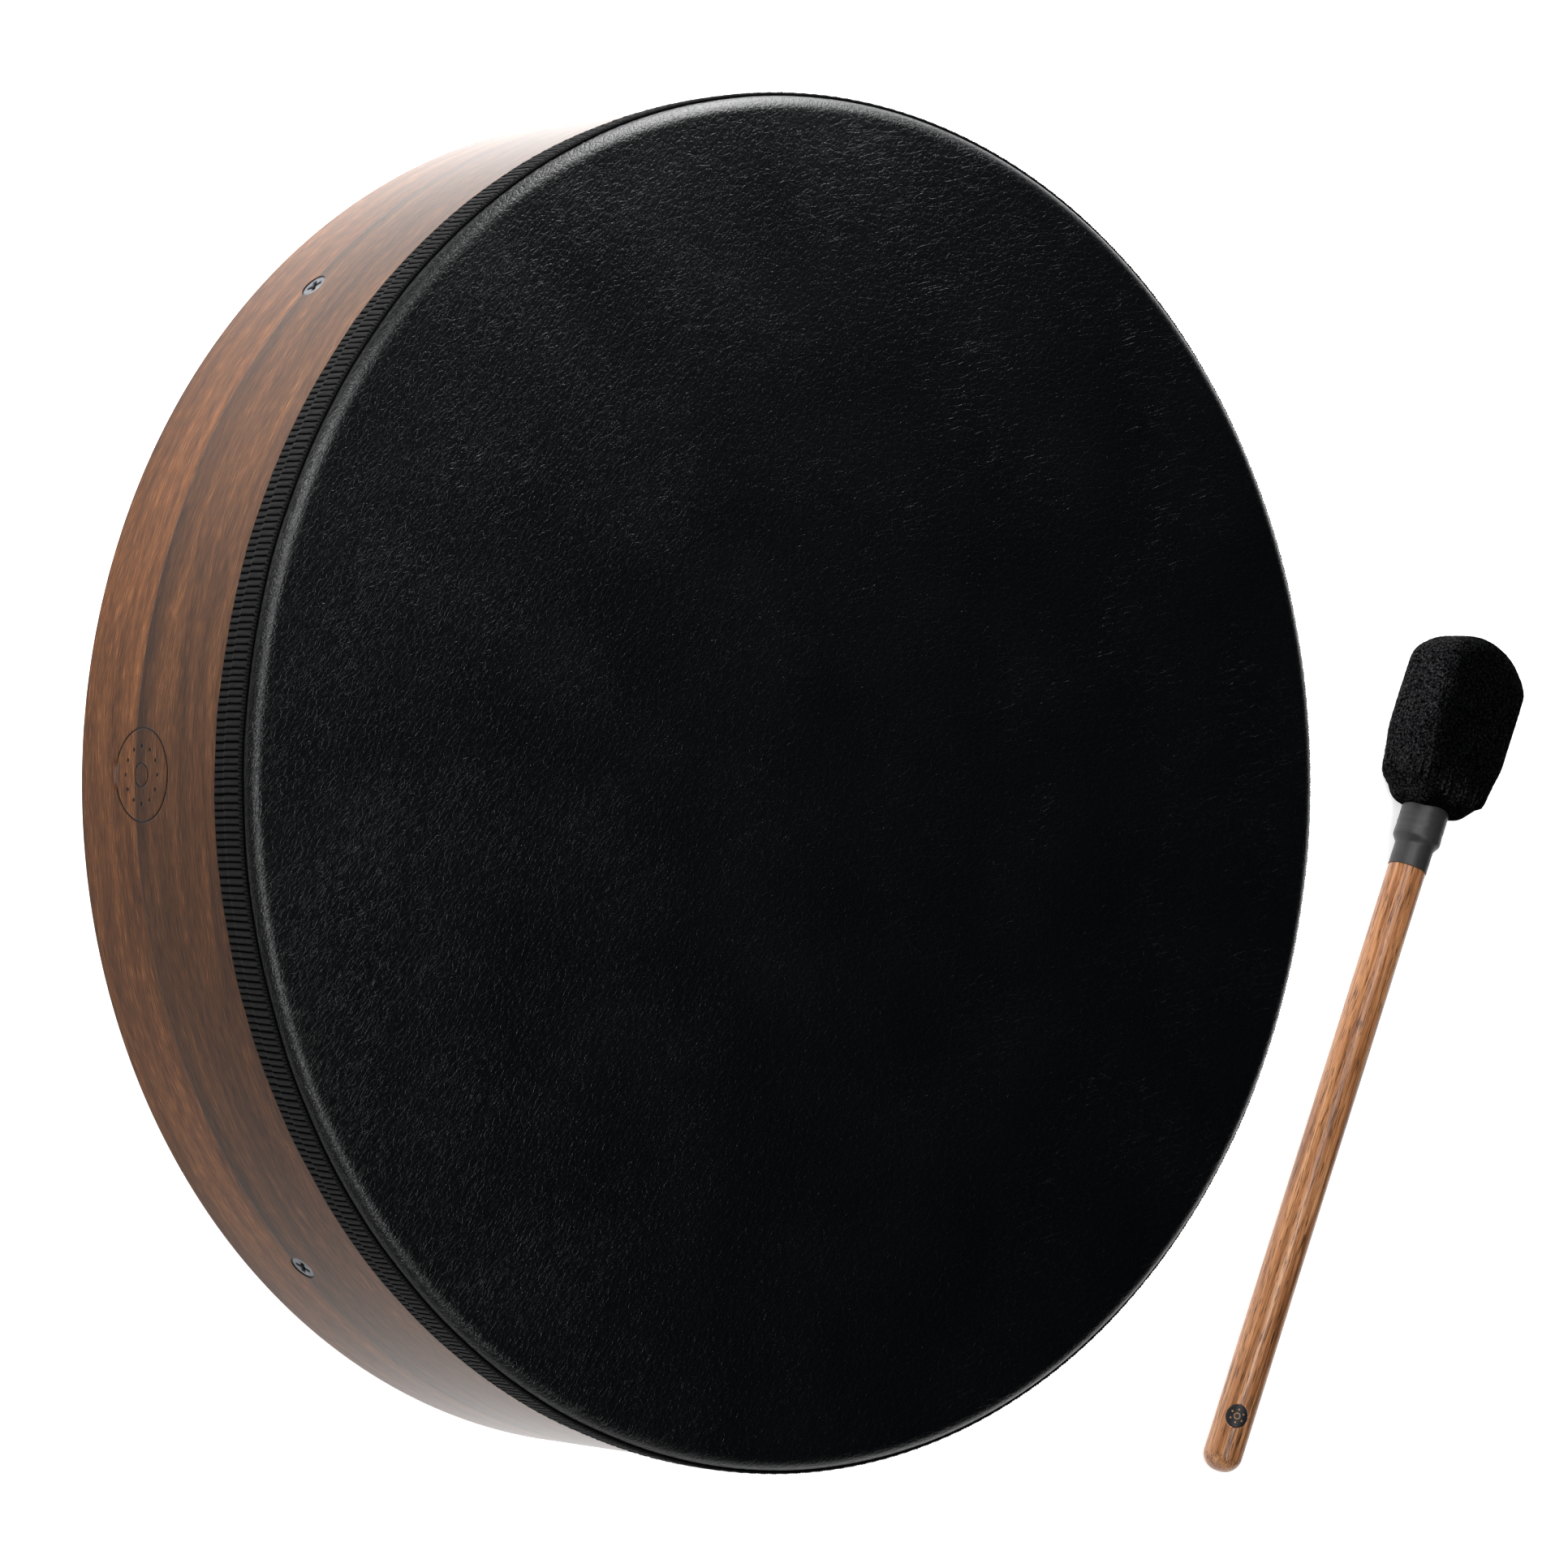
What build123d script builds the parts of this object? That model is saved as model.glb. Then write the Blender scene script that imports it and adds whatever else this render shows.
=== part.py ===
from build123d import *
import os
from math import atan, cos, degrees, radians, sin, sqrt

# An 18 inch ritual frame drum with its padded mallet. The drum lies on the rear rim of its shell with the
# playing head facing up, and the mallet lies beside it on the same surface.
# Millimetres. Origin: the drum's axis, in the plane of the rear rim. +Z points from the rear rim to the head.

# ---- Shell -------------------------------------------------------------------------------------------------
SHELL_RADIUS = 228.6        # 18 inch diameter
SHELL_WALL = 9.0            # bent plywood hoop, face plies included
SHELL_HEIGHT = 96.0
FACE_PLY = 1.2              # outer face ply, laid as two strips side by side
PLY_SEAM_Z = 31.5           # height of the joint between the two strips
BEARING_ROUND = 4.5         # rounding of the outer front edge, which the head is drawn over
REAR_EDGE_ROUND = 1.0

# ---- Engraved ornament on the face ply ----------------------------------------------------------------------
ORNAMENT_ANGLE = 179.3
ORNAMENT_Z = 35.3
ORNAMENT_DIAMETER = 30.5
GROOVE_WIDTH = 0.6
GROOVE_DEPTH = 0.35
DOT_COUNT = 12
DOT_RING_RADIUS = 9.2
DOT_DIAMETER = 1.3
HUB_RING_DIAMETER = 8.0

# ---- Head and the ribbon that covers its edge -----------------------------------------------------------------
HEAD_THICKNESS = 1.0
SKIRT_EDGE_Z = 84.0         # raw edge of the head's skirt, hidden by the ribbon
RIBBON_THICKNESS = 1.0
RIBBON_EDGE_Z = 78.2
RIBBON_LOW_PROUD = 1.2      # ribbon over bare wood, before it climbs on to the skirt
RIBBON_END_ANGLE = 25.0     # how far the ribbon follows the rounded edge towards the head
RIBBON_JOINT_ANGLE = -62.0  # where the two ribbon ends meet
RIBBON_JOINT_GAP = 0.12     # degrees

# ---- Staples --------------------------------------------------------------------------------------------------
STAPLE_COUNT = 40
STAPLE_Z = 86.2
STAPLE_CROWN = 10.6
STAPLE_WIRE = (1.2, 0.5)    # height and thickness of the flat wire
STAPLE_LEG = 6.0

# ---- Crossbars and their screws ---------------------------------------------------------------------------------
BAR_ANGLES = {"crossbar_lower": 135.0, "crossbar_upper": -136.6}
BAR_WIDTH = 24.0
BAR_HEIGHT = 18.0
BAR_CENTRE_Z = 34.0
BAR_EDGE_ROUND = 5.0
SCREW_HEAD_DIAMETER = 9.0
SCREW_SHANK_DIAMETER = 4.5
SCREW_ROOT_DIAMETER = 3.2
SCREW_LENGTH = 32.0
SCREW_RIM = 0.4             # straight rim of the countersunk head
SCREW_SET_IN = 0.25         # depth of the head below the shell's face
RECESS_SPAN = 5.0
RECESS_SLOT = 1.1
RECESS_DEPTH = 1.7
LAP_SCREW_LENGTH = 15.0
LAP_SCREW_HEAD_DIAMETER = 8.0
LAP_SCREW_SHANK_DIAMETER = 4.0
LAP_SCREW_ROOT_DIAMETER = 2.8

# ---- Mallet: distances along its axis are counted from the butt ---------------------------------------------------
BUTT_POINT = (265.9, -257.8)   # place of the butt on the surface
MALLET_HEADING = 67.2          # degrees from +X to the mallet's axis, seen from above
HANDLE_RADIUS = 7.35
HANDLE_SEAT_RADIUS = 7.1       # slightly reduced under the sleeve
BUTT_ROUND = 6.6
SLEEVE_START = 243.5
SLEEVE_STEP = 255.3
SLEEVE_END = 267.2
SLEEVE_THICKNESS = 0.45
HANDLE_SHOULDER = 277.0
TENON_RADIUS = 5.0
TENON_END = 312.0
HEAD_START = 266.7
HEAD_END = 338.5
HEAD_WIDTH = 48.0
HEAD_DEPTH = 27.0
HEAD_EDGE_ROUND = 8.5
HEAD_NECK_WIDTH = 22.0         # the head narrows to this where it is gathered on to the handle
HEAD_SHOULDER = (9.5, 40.0)    # distance from the head's start, and width there
HEAD_FULL_FROM = 27.0          # distance from the head's start to its full width
HEAD_CROWN_RADIUS = 29.0       # the far end of the head bulges across its width
COVER_THICKNESS = 1.3
COVER_SKIRT_START = 256.0
COVER_SKIRT_RADIUS = 8.4
BINDING_SPAN = (257.0, 259.4)
BINDING_RADIUS = 8.75
CORE_SPAN = (277.0, 328.0)
CORE_WIDTH = 29.0
CORE_DEPTH = 13.0
CORE_CORNER = 4.0
BADGE_STATION = 20.8
BADGE_DIAMETER = 8.8
BADGE_THICKNESS = 0.4
BADGE_TURN = 37.0              # degrees from straight up, round the handle towards the drum

# ---- Sizes that follow from the ones above -------------------------------------------------------------------------
SHELL_BORE = SHELL_RADIUS - SHELL_WALL
EDGE_CENTRE_R = SHELL_RADIUS - BEARING_ROUND
EDGE_CENTRE_Z = SHELL_HEIGHT - BEARING_ROUND
HEAD_ROUND = BEARING_ROUND + HEAD_THICKNESS
RIBBON_ROUND = HEAD_ROUND + RIBBON_THICKNESS
MALLET_TILT = degrees(atan((HEAD_DEPTH / 2 - HANDLE_RADIUS) / (HEAD_START + HEAD_EDGE_ROUND - BUTT_ROUND)))


def edge_point(radius, angle):
    """A point on an arc about the centre of the rounded front edge, in the radius-height plane."""
    return (EDGE_CENTRE_R + radius * cos(radians(angle)), EDGE_CENTRE_Z + radius * sin(radians(angle)))


def turned(*edges, start=0.0, arc=360.0):
    """Solid turned about the drum's axis from a closed outline of edges in the radius-height plane."""
    face = make_face(Plane.XZ * Wire(list(edges)))
    return Rot(0, 0, start) * revolve(face, Axis.Z, arc)


def radial(angle, height, solid):
    """Place a solid that was made along +X, with its outer end at x = 0, on the shell's face."""
    return Rot(0, 0, angle) * Pos(SHELL_RADIUS, 0, height) * solid


# ---- Drum ----------------------------------------------------------------------------------------------------------
def shell_blank():
    hoop = Cylinder(SHELL_RADIUS, SHELL_HEIGHT, align=(Align.CENTER, Align.CENTER, Align.MIN))
    hoop -= Cylinder(SHELL_BORE, SHELL_HEIGHT, align=(Align.CENTER, Align.CENTER, Align.MIN))
    rings = hoop.edges().filter_by(GeomType.CIRCLE)
    front_outer = [e for e in rings if e.center().Z > SHELL_HEIGHT / 2 and e.radius > SHELL_BORE + 1]
    hoop = fillet(front_outer, BEARING_ROUND)
    rings = hoop.edges().filter_by(GeomType.CIRCLE)
    return fillet([e for e in rings if e.center().Z < REAR_EDGE_ROUND], REAR_EDGE_ROUND)


def ornament_cutter():
    """Shallow engraving: a circle, a ring of dots and a small ring, all to the same depth in the face."""
    marks = Cylinder(ORNAMENT_DIAMETER / 2, 20) - Cylinder(ORNAMENT_DIAMETER / 2 - GROOVE_WIDTH, 20)
    marks += Cylinder(HUB_RING_DIAMETER / 2, 20) - Cylinder(HUB_RING_DIAMETER / 2 - GROOVE_WIDTH, 20)
    for index in range(DOT_COUNT):
        turn = Rot(0, 0, 360 * index / DOT_COUNT)
        marks += turn * Pos(DOT_RING_RADIUS, 0, 0) * Cylinder(DOT_DIAMETER / 2, 20)
    marks = radial(ORNAMENT_ANGLE, ORNAMENT_Z, Rot(0, 90, 0) * marks)
    skin = Cylinder(SHELL_RADIUS + 5, SHELL_HEIGHT * 2) - Cylinder(SHELL_RADIUS - GROOVE_DEPTH, SHELL_HEIGHT * 2)
    return marks & skin


def countersunk_screw(length, head_diameter, shank_diameter, root_diameter):
    """Wood screw along -X with the face of its head at x = 0: the plain body, without the recess."""
    head_r, shank_r, root_r = head_diameter / 2, shank_diameter / 2, root_diameter / 2
    cone_end = SCREW_RIM + head_r - shank_r
    shank_end = length * 0.35
    tip_start = length - 2 * root_r
    outline = Polyline(
        (0, 0),
        (0, head_r),
        (-SCREW_RIM, head_r),
        (-cone_end, shank_r),
        (-shank_end, shank_r),
        (-shank_end - (shank_r - root_r), root_r),
        (-tip_start, root_r),
        (-length, 0),
        (0, 0),
    )
    return revolve(make_face(outline), Axis.X)


def cross_recess():
    arm = Box(2 * RECESS_DEPTH, RECESS_SPAN, RECESS_SLOT)
    return arm + Rot(90, 0, 0) * arm


def bar_screws():
    """The four screws that hold the crossbars: name, finished screw, and the hole it fills."""
    body = countersunk_screw(SCREW_LENGTH, SCREW_HEAD_DIAMETER, SCREW_SHANK_DIAMETER, SCREW_ROOT_DIAMETER)
    access = Pos(SCREW_SET_IN, 0, 0) * Rot(0, 90, 0) * Cylinder(SCREW_HEAD_DIAMETER / 2, 2 * SCREW_SET_IN)
    places = {
        "bar_screw_upper_left": BAR_ANGLES["crossbar_lower"],
        "bar_screw_lower_right": BAR_ANGLES["crossbar_lower"] + 180,
        "bar_screw_lower_left": BAR_ANGLES["crossbar_upper"],
        "bar_screw_upper_right": BAR_ANGLES["crossbar_upper"] + 180,
    }
    screws = {}
    holes = []
    for index, (name, angle) in enumerate(places.items()):
        set_in = Rot(28 + 17 * index, 0, 0)
        screws[name] = radial(angle, BAR_CENTRE_Z, Pos(-SCREW_SET_IN, 0, 0) * set_in * (body - cross_recess()))
        holes.append(radial(angle, BAR_CENTRE_Z, Pos(-SCREW_SET_IN, 0, 0) * (body + access)))
    return screws, holes


def lap_screw():
    """Short screw that clamps the two crossbars where they cross, driven from the rear."""
    body = countersunk_screw(
        LAP_SCREW_LENGTH, LAP_SCREW_HEAD_DIAMETER, LAP_SCREW_SHANK_DIAMETER, LAP_SCREW_ROOT_DIAMETER
    )
    place = Pos(0, 0, BAR_CENTRE_Z - BAR_HEIGHT / 2) * Rot(0, 90, 0)
    return place * (body - cross_recess()), place * body


def crossbar(name):
    """A rounded bar across the shell, its ends curved to the wall, halved where it crosses the other bar."""
    bar = Box(2 * SHELL_RADIUS, BAR_WIDTH, BAR_HEIGHT)
    bar = fillet(bar.edges().filter_by(Axis.X), BAR_EDGE_ROUND)
    other = [angle for key, angle in BAR_ANGLES.items() if key != name][0]
    bar = Rot(0, 0, BAR_ANGLES[name]) * bar
    side = 1 if name == "crossbar_lower" else -1
    notch = Rot(0, 0, other) * Pos(0, 0, side * BAR_HEIGHT / 4) * Box(4 * BAR_WIDTH, BAR_WIDTH, BAR_HEIGHT / 2)
    return Pos(0, 0, BAR_CENTRE_Z) * ((bar - notch) & Cylinder(SHELL_BORE, 2 * BAR_HEIGHT))


def drum_head():
    """Synthetic leather drawn over the front edge: a flat disc, a rounded edge and a skirt."""
    inner_top = (EDGE_CENTRE_R, SHELL_HEIGHT)
    outer_top = (EDGE_CENTRE_R, SHELL_HEIGHT + HEAD_THICKNESS)
    inner_side = (SHELL_RADIUS, EDGE_CENTRE_Z)
    outer_side = (SHELL_RADIUS + HEAD_THICKNESS, EDGE_CENTRE_Z)
    return turned(
        Line((0, SHELL_HEIGHT), inner_top),
        ThreePointArc(inner_top, edge_point(BEARING_ROUND, 45), inner_side),
        Line(inner_side, (SHELL_RADIUS, SKIRT_EDGE_Z)),
        Line((SHELL_RADIUS, SKIRT_EDGE_Z), (SHELL_RADIUS + HEAD_THICKNESS, SKIRT_EDGE_Z)),
        Line((SHELL_RADIUS + HEAD_THICKNESS, SKIRT_EDGE_Z), outer_side),
        ThreePointArc(outer_side, edge_point(HEAD_ROUND, 45), outer_top),
        Line(outer_top, (0, SHELL_HEIGHT + HEAD_THICKNESS)),
        Line((0, SHELL_HEIGHT + HEAD_THICKNESS), (0, SHELL_HEIGHT)),
    )


def rim_ribbon():
    """Ribbon glued round the shell over the skirt's raw edge, its front edge curling on to the head."""
    wood = SHELL_RADIUS
    skirt = SHELL_RADIUS + HEAD_THICKNESS
    outer = skirt + RIBBON_THICKNESS
    low = wood + RIBBON_LOW_PROUD
    half = RIBBON_END_ANGLE / 2
    return turned(
        Line((wood, RIBBON_EDGE_Z), (wood, SKIRT_EDGE_Z)),
        Line((wood, SKIRT_EDGE_Z), (skirt, SKIRT_EDGE_Z)),
        Line((skirt, SKIRT_EDGE_Z), (skirt, EDGE_CENTRE_Z)),
        ThreePointArc((skirt, EDGE_CENTRE_Z), edge_point(HEAD_ROUND, half), edge_point(HEAD_ROUND, RIBBON_END_ANGLE)),
        Line(edge_point(HEAD_ROUND, RIBBON_END_ANGLE), edge_point(RIBBON_ROUND, RIBBON_END_ANGLE)),
        ThreePointArc(
            edge_point(RIBBON_ROUND, RIBBON_END_ANGLE), edge_point(RIBBON_ROUND, half), (outer, EDGE_CENTRE_Z)
        ),
        Line((outer, EDGE_CENTRE_Z), (outer, SKIRT_EDGE_Z + 0.5)),
        Line((outer, SKIRT_EDGE_Z + 0.5), (low, SKIRT_EDGE_Z - 0.5)),
        Line((low, SKIRT_EDGE_Z - 0.5), (low, RIBBON_EDGE_Z)),
        Line((low, RIBBON_EDGE_Z), (wood, RIBBON_EDGE_Z)),
        start=RIBBON_JOINT_ANGLE,
        arc=360 - RIBBON_JOINT_GAP,
    )


def head_staples():
    """Flat-wire staples that hold the skirt to the shell, under the ribbon."""
    height, thick = STAPLE_WIRE
    crown_face = HEAD_THICKNESS + 0.4
    reach = crown_face + STAPLE_LEG
    crown = Pos(crown_face - thick / 2, 0, 0) * Box(thick, STAPLE_CROWN, height)
    leg = Pos(crown_face - reach / 2, 0, 0) * Box(reach, thick, height)
    offset = STAPLE_CROWN / 2 - thick / 2
    staple = crown + Pos(0, offset, 0) * leg + Pos(0, -offset, 0) * leg
    step = 360 / STAPLE_COUNT
    return [radial(step * (index + 0.5), STAPLE_Z, staple) for index in range(STAPLE_COUNT)]


# ---- Mallet: made along +X from the butt, then laid on the surface ---------------------------------------------------
def laid(solid):
    x, y = BUTT_POINT
    butt_height = HANDLE_RADIUS * cos(radians(MALLET_TILT)) - BUTT_ROUND * sin(radians(MALLET_TILT))
    return Pos(x, y, butt_height) * Rot(0, 0, MALLET_HEADING) * Rot(0, -MALLET_TILT, 0) * solid


def rod(start, end, radius):
    return Pos((start + end) / 2, 0, 0) * Rot(0, 90, 0) * Cylinder(radius, end - start)


def rounded_block(start, end, width, depth, corner, end_round):
    block = Pos((start + end) / 2, 0, 0) * Box(end - start, width, depth)
    block = fillet(block.edges().filter_by(Axis.X), corner)
    ends = [e for e in block.edges() if e.center().X < start + 0.01 or e.center().X > end - 0.01]
    return fillet(ends, end_round)


def stuffed_head(inset):
    """The padded head's outline, narrowed to the neck and all its edges rounded, moved inwards by a distance."""
    half = HEAD_WIDTH / 2
    centre = HEAD_END - HEAD_CROWN_RADIUS
    crown_start = (centre + sqrt(HEAD_CROWN_RADIUS**2 - half**2), half)
    step, step_width = HEAD_SHOULDER
    side = [
        (HEAD_START, HEAD_NECK_WIDTH / 2),
        (HEAD_START + step, step_width / 2),
        (HEAD_START + HEAD_FULL_FROM, half),
        crown_start,
    ]
    other_side = [(x, -y) for x, y in reversed(side)]
    edges = [Line(a, b) for a, b in zip(side, side[1:])]
    edges.append(ThreePointArc(crown_start, (HEAD_END, 0), other_side[0]))
    edges += [Line(a, b) for a, b in zip(other_side, other_side[1:])]
    edges.append(Line(other_side[-1], side[0]))
    outline = make_face(Wire(edges))
    if inset:
        outline = offset(outline, -inset, kind=Kind.INTERSECTION)
    block = extrude(outline, HEAD_DEPTH / 2 - inset, both=True)
    return fillet(block.edges(), HEAD_EDGE_ROUND - inset)


def padding_blank():
    return stuffed_head(COVER_THICKNESS)


def core_blank():
    start, end = CORE_SPAN
    return rounded_block(start, end, CORE_WIDTH, CORE_DEPTH, CORE_CORNER, CORE_CORNER - 1)


def badge_blank():
    """The inlaid disc: a round plug through the handle's outermost layer."""
    plug = Pos(BADGE_STATION, 0, HANDLE_RADIUS) * Cylinder(BADGE_DIAMETER / 2, 8)
    layer = rod(0, 60, HANDLE_RADIUS) - rod(0, 60, HANDLE_RADIUS - BADGE_THICKNESS)
    return Rot(-BADGE_TURN, 0, 0) * (plug & layer)


def mallet_handle():
    butt = rod(0, SLEEVE_START, HANDLE_RADIUS)
    butt = fillet([e for e in butt.edges() if e.center().X < 0.01], BUTT_ROUND)
    seat = rod(SLEEVE_START, HANDLE_SHOULDER, HANDLE_SEAT_RADIUS)
    tenon = rod(HANDLE_SHOULDER, TENON_END, TENON_RADIUS)
    return butt + seat + tenon - badge_blank()


def mallet_padding():
    seat = rod(HEAD_START, HANDLE_SHOULDER, HANDLE_SEAT_RADIUS)
    tenon = rod(HANDLE_SHOULDER, TENON_END, TENON_RADIUS)
    return padding_blank() - core_blank() - seat - tenon


def mallet_core():
    return core_blank() - rod(HANDLE_SHOULDER - 1, TENON_END, TENON_RADIUS)


def mallet_cover():
    outer = stuffed_head(0)
    skirt = rod(COVER_SKIRT_START, HEAD_START + 1, COVER_SKIRT_RADIUS)
    opening = rod(COVER_SKIRT_START, HEAD_START + 2, HANDLE_SEAT_RADIUS)
    return outer + skirt - padding_blank() - opening


def neck_binding():
    start, end = BINDING_SPAN
    return rod(start, end, BINDING_RADIUS) - rod(start, end, COVER_SKIRT_RADIUS)


def mallet_sleeve():
    """Shrink-fitted sleeve: tight on the wood, stepping up over the cover's skirt and its binding."""
    t = SLEEVE_THICKNESS
    inner = [
        (SLEEVE_START, HANDLE_SEAT_RADIUS),
        (SLEEVE_STEP - 0.6, HANDLE_SEAT_RADIUS),
        (SLEEVE_STEP + 0.6, BINDING_RADIUS),
        (BINDING_SPAN[1] + 0.3, BINDING_RADIUS),
        (BINDING_SPAN[1] + 1.6, COVER_SKIRT_RADIUS),
        (SLEEVE_END - 1.0, COVER_SKIRT_RADIUS),
    ]
    outer = [(x, r + t) for x, r in inner]
    outline = Polyline(*inner, *reversed(outer), inner[0])
    return revolve(make_face(outline), Axis.X)


# ---- Assembly --------------------------------------------------------------------------------------------------------
def drum_nodes():
    screws, holes = bar_screws()
    centre_screw, centre_hole = lap_screw()
    staples = head_staples()
    blank = shell_blank()
    engraved = ornament_cutter()
    inside = Cylinder(SHELL_RADIUS - FACE_PLY, 4 * SHELL_HEIGHT)
    below = Pos(0, 0, PLY_SEAM_Z) * Box(1000, 1000, 1000, align=(Align.CENTER, Align.CENTER, Align.MAX))
    face = blank - inside - holes
    nodes = {
        "shell_core": (blank & inside) - holes - staples,
        "face_ply_rear": (face & below) - engraved,
        "face_ply_front": (face - below) - engraved - staples,
        "drum_head": drum_head() - staples,
        "rim_ribbon": rim_ribbon() - staples,
        "head_staples": Compound(staples),
        "lap_screw": centre_screw,
    }
    for name in BAR_ANGLES:
        nodes[name] = crossbar(name) - holes - centre_hole
    return {**nodes, **screws}


def mallet_nodes():
    pieces = {
        "mallet_handle": mallet_handle(),
        "mallet_core": mallet_core(),
        "mallet_padding": mallet_padding(),
        "mallet_cover": mallet_cover(),
        "neck_binding": neck_binding(),
        "mallet_sleeve": mallet_sleeve(),
        "handle_badge": badge_blank(),
    }
    return {name: laid(solid) for name, solid in pieces.items()}


os.makedirs("parts", exist_ok=True)
for node, solid in {**drum_nodes(), **mallet_nodes()}.items():
    export_step(solid, f"parts/{node}.step")
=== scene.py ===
import math

import bpy
import numpy as np
from mathutils import Matrix, Vector, noise
from mathutils.bvhtree import BVHTree


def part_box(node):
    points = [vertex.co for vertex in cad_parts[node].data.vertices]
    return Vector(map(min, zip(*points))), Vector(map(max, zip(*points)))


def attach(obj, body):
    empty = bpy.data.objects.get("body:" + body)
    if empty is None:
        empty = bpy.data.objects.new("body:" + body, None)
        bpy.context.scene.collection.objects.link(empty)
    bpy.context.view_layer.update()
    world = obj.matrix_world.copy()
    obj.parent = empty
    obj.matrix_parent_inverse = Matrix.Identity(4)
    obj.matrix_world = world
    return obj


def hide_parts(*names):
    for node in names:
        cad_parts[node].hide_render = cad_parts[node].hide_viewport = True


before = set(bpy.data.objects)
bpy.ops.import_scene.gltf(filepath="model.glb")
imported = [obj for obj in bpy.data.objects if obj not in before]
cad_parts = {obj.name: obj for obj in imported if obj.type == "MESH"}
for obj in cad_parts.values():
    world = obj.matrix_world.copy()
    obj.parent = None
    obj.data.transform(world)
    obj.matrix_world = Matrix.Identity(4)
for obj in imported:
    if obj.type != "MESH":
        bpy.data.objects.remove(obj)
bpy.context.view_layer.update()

# A frame drum lying on its rear rim and its mallet, in metres. The sizes below repeat the model's own.
MM = 0.001
SHELL_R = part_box("face_ply_rear")[1].x
SHELL_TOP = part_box("shell_core")[1].z
HEAD_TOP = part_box("drum_head")[1].z
SEAM_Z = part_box("face_ply_rear")[1].z
RIBBON_REAR_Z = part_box("rim_ribbon")[0].z
SKIRT_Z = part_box("drum_head")[0].z
BEARING_ROUND = 4.5 * MM
FACE_PLY = 1.2 * MM
HEAD_THICK = HEAD_TOP - SHELL_TOP
EDGE_R = SHELL_R - BEARING_ROUND
EDGE_Z = SHELL_TOP - BEARING_ROUND
ORNAMENT_ANGLE = math.radians(179.3)
ORNAMENT_Z = 35.3 * MM
ORNAMENT_R = 15.25 * MM
CIRCLE_R = ORNAMENT_R - 0.3 * MM
SMALL_RING_R = 3.7 * MM
DOTS, DOT_RING_R = 12, 9.2 * MM
SCREW_Z = 34.0 * MM
SCREW_R = 4.5 * MM
SCREW_ANGLES = {
    "bar_screw_upper_left": 135.0,
    "bar_screw_lower_right": 315.0,
    "bar_screw_lower_left": 223.4,
    "bar_screw_upper_right": 43.4,
}

# The mallet's own frame: +X from butt to head, +Z up, as the model lays it down.
HANDLE_R = 7.35 * MM
HEAD_W, HEAD_D = 48.0 * MM, 27.0 * MM
HEAD_START, HEAD_END = 266.7 * MM, 338.5 * MM
SLEEVE_START, SLEEVE_END = 243.5 * MM, 267.2 * MM
TENON_START, TENON_END = 277.0 * MM, 312.0 * MM
BUTT_ROUND = 6.6 * MM
BADGE_X, BADGE_R, BADGE_TURN = 20.8 * MM, 4.4 * MM, 37.0
BADGE_ANGLE = math.radians(90 - BADGE_TURN)
TILT = math.atan((HEAD_D / 2 - HANDLE_R) / (HEAD_START + 8.5 * MM - BUTT_ROUND))
BUTT = Vector((0.2659, -0.2578, HANDLE_R * math.cos(TILT) - BUTT_ROUND * math.sin(TILT)))
HEADING = Matrix.Rotation(math.radians(67.2), 4, "Z")
LAID = Matrix.Translation(BUTT) @ HEADING @ Matrix.Rotation(-TILT, 4, "Y")


# ---- Mesh helpers --------------------------------------------------------------------------------
def quads(rows, cols, wrap_rows=False, wrap_cols=True):
    """Corner indices of the quads over a rows x cols array of points."""
    r = np.arange(rows if wrap_rows else rows - 1)[:, None]
    c = np.arange(cols if wrap_cols else cols - 1)[None, :]
    after_r, after_c = (r + 1) % rows, (c + 1) % cols
    corners = [r * cols + c, r * cols + after_c, after_r * cols + after_c, after_r * cols + c]
    return np.stack(np.broadcast_arrays(*corners), -1).reshape(-1, 4)


def mesh_piece(name, points, faces, body, slot, material, *stands_for, place=None):
    """A smooth mesh that rides on a body and stands for the CAD nodes named."""
    points = np.asarray(points, np.float64).reshape(-1, 3)
    mesh = bpy.data.meshes.new(name)
    mesh.from_pydata(points.tolist(), [], [list(f) for f in np.asarray(faces).tolist()])
    mesh.polygons.foreach_set("use_smooth", np.ones(len(mesh.polygons), bool))
    mesh.update()
    piece = bpy.data.objects.new(name, mesh)
    bpy.context.scene.collection.objects.link(piece)
    if place is not None:
        piece.matrix_world = place
    mesh.materials.append(material)
    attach(piece, body)
    if stands_for:
        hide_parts(*stands_for)
    return piece


def paint(piece, name, values):
    """A number for every point of a piece, which its material reads by name."""
    layer = piece.data.attributes.new(name, "FLOAT", "POINT")
    layer.data.foreach_set("value", np.asarray(values).ravel())


def turned(profile, angles, axis="Z"):
    """Points of a profile of (radius, height) pairs swept through the angles, as a rows x cols array."""
    profile = np.asarray(profile, float)
    radius, height = profile[:, 0][:, None], profile[:, 1][:, None]
    c, s = np.cos(angles)[None, :], np.sin(angles)[None, :]
    if axis == "Z":
        return np.stack([radius * c, radius * s, height + 0 * c], -1)
    return np.stack([height + 0 * c, radius * c, radius * s], -1)


def around(count):
    return np.arange(count) * 2 * np.pi / count


def smoothstep(x, low, high):
    t = np.clip((x - low) / (high - low), 0, 1)
    return t * t * (3 - 2 * t)


def wavy(angle, seed, waves=(3, 7, 13, 23), falloff=0.7):
    """A smooth closed random function of an angle, about -1 to 1."""
    rng = np.random.default_rng(seed)
    total = np.zeros_like(angle)
    size = 1.0
    for wave in waves:
        total += size * np.sin(wave * angle + rng.uniform(0, 2 * np.pi))
        size *= falloff
    return total / 1.6


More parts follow.
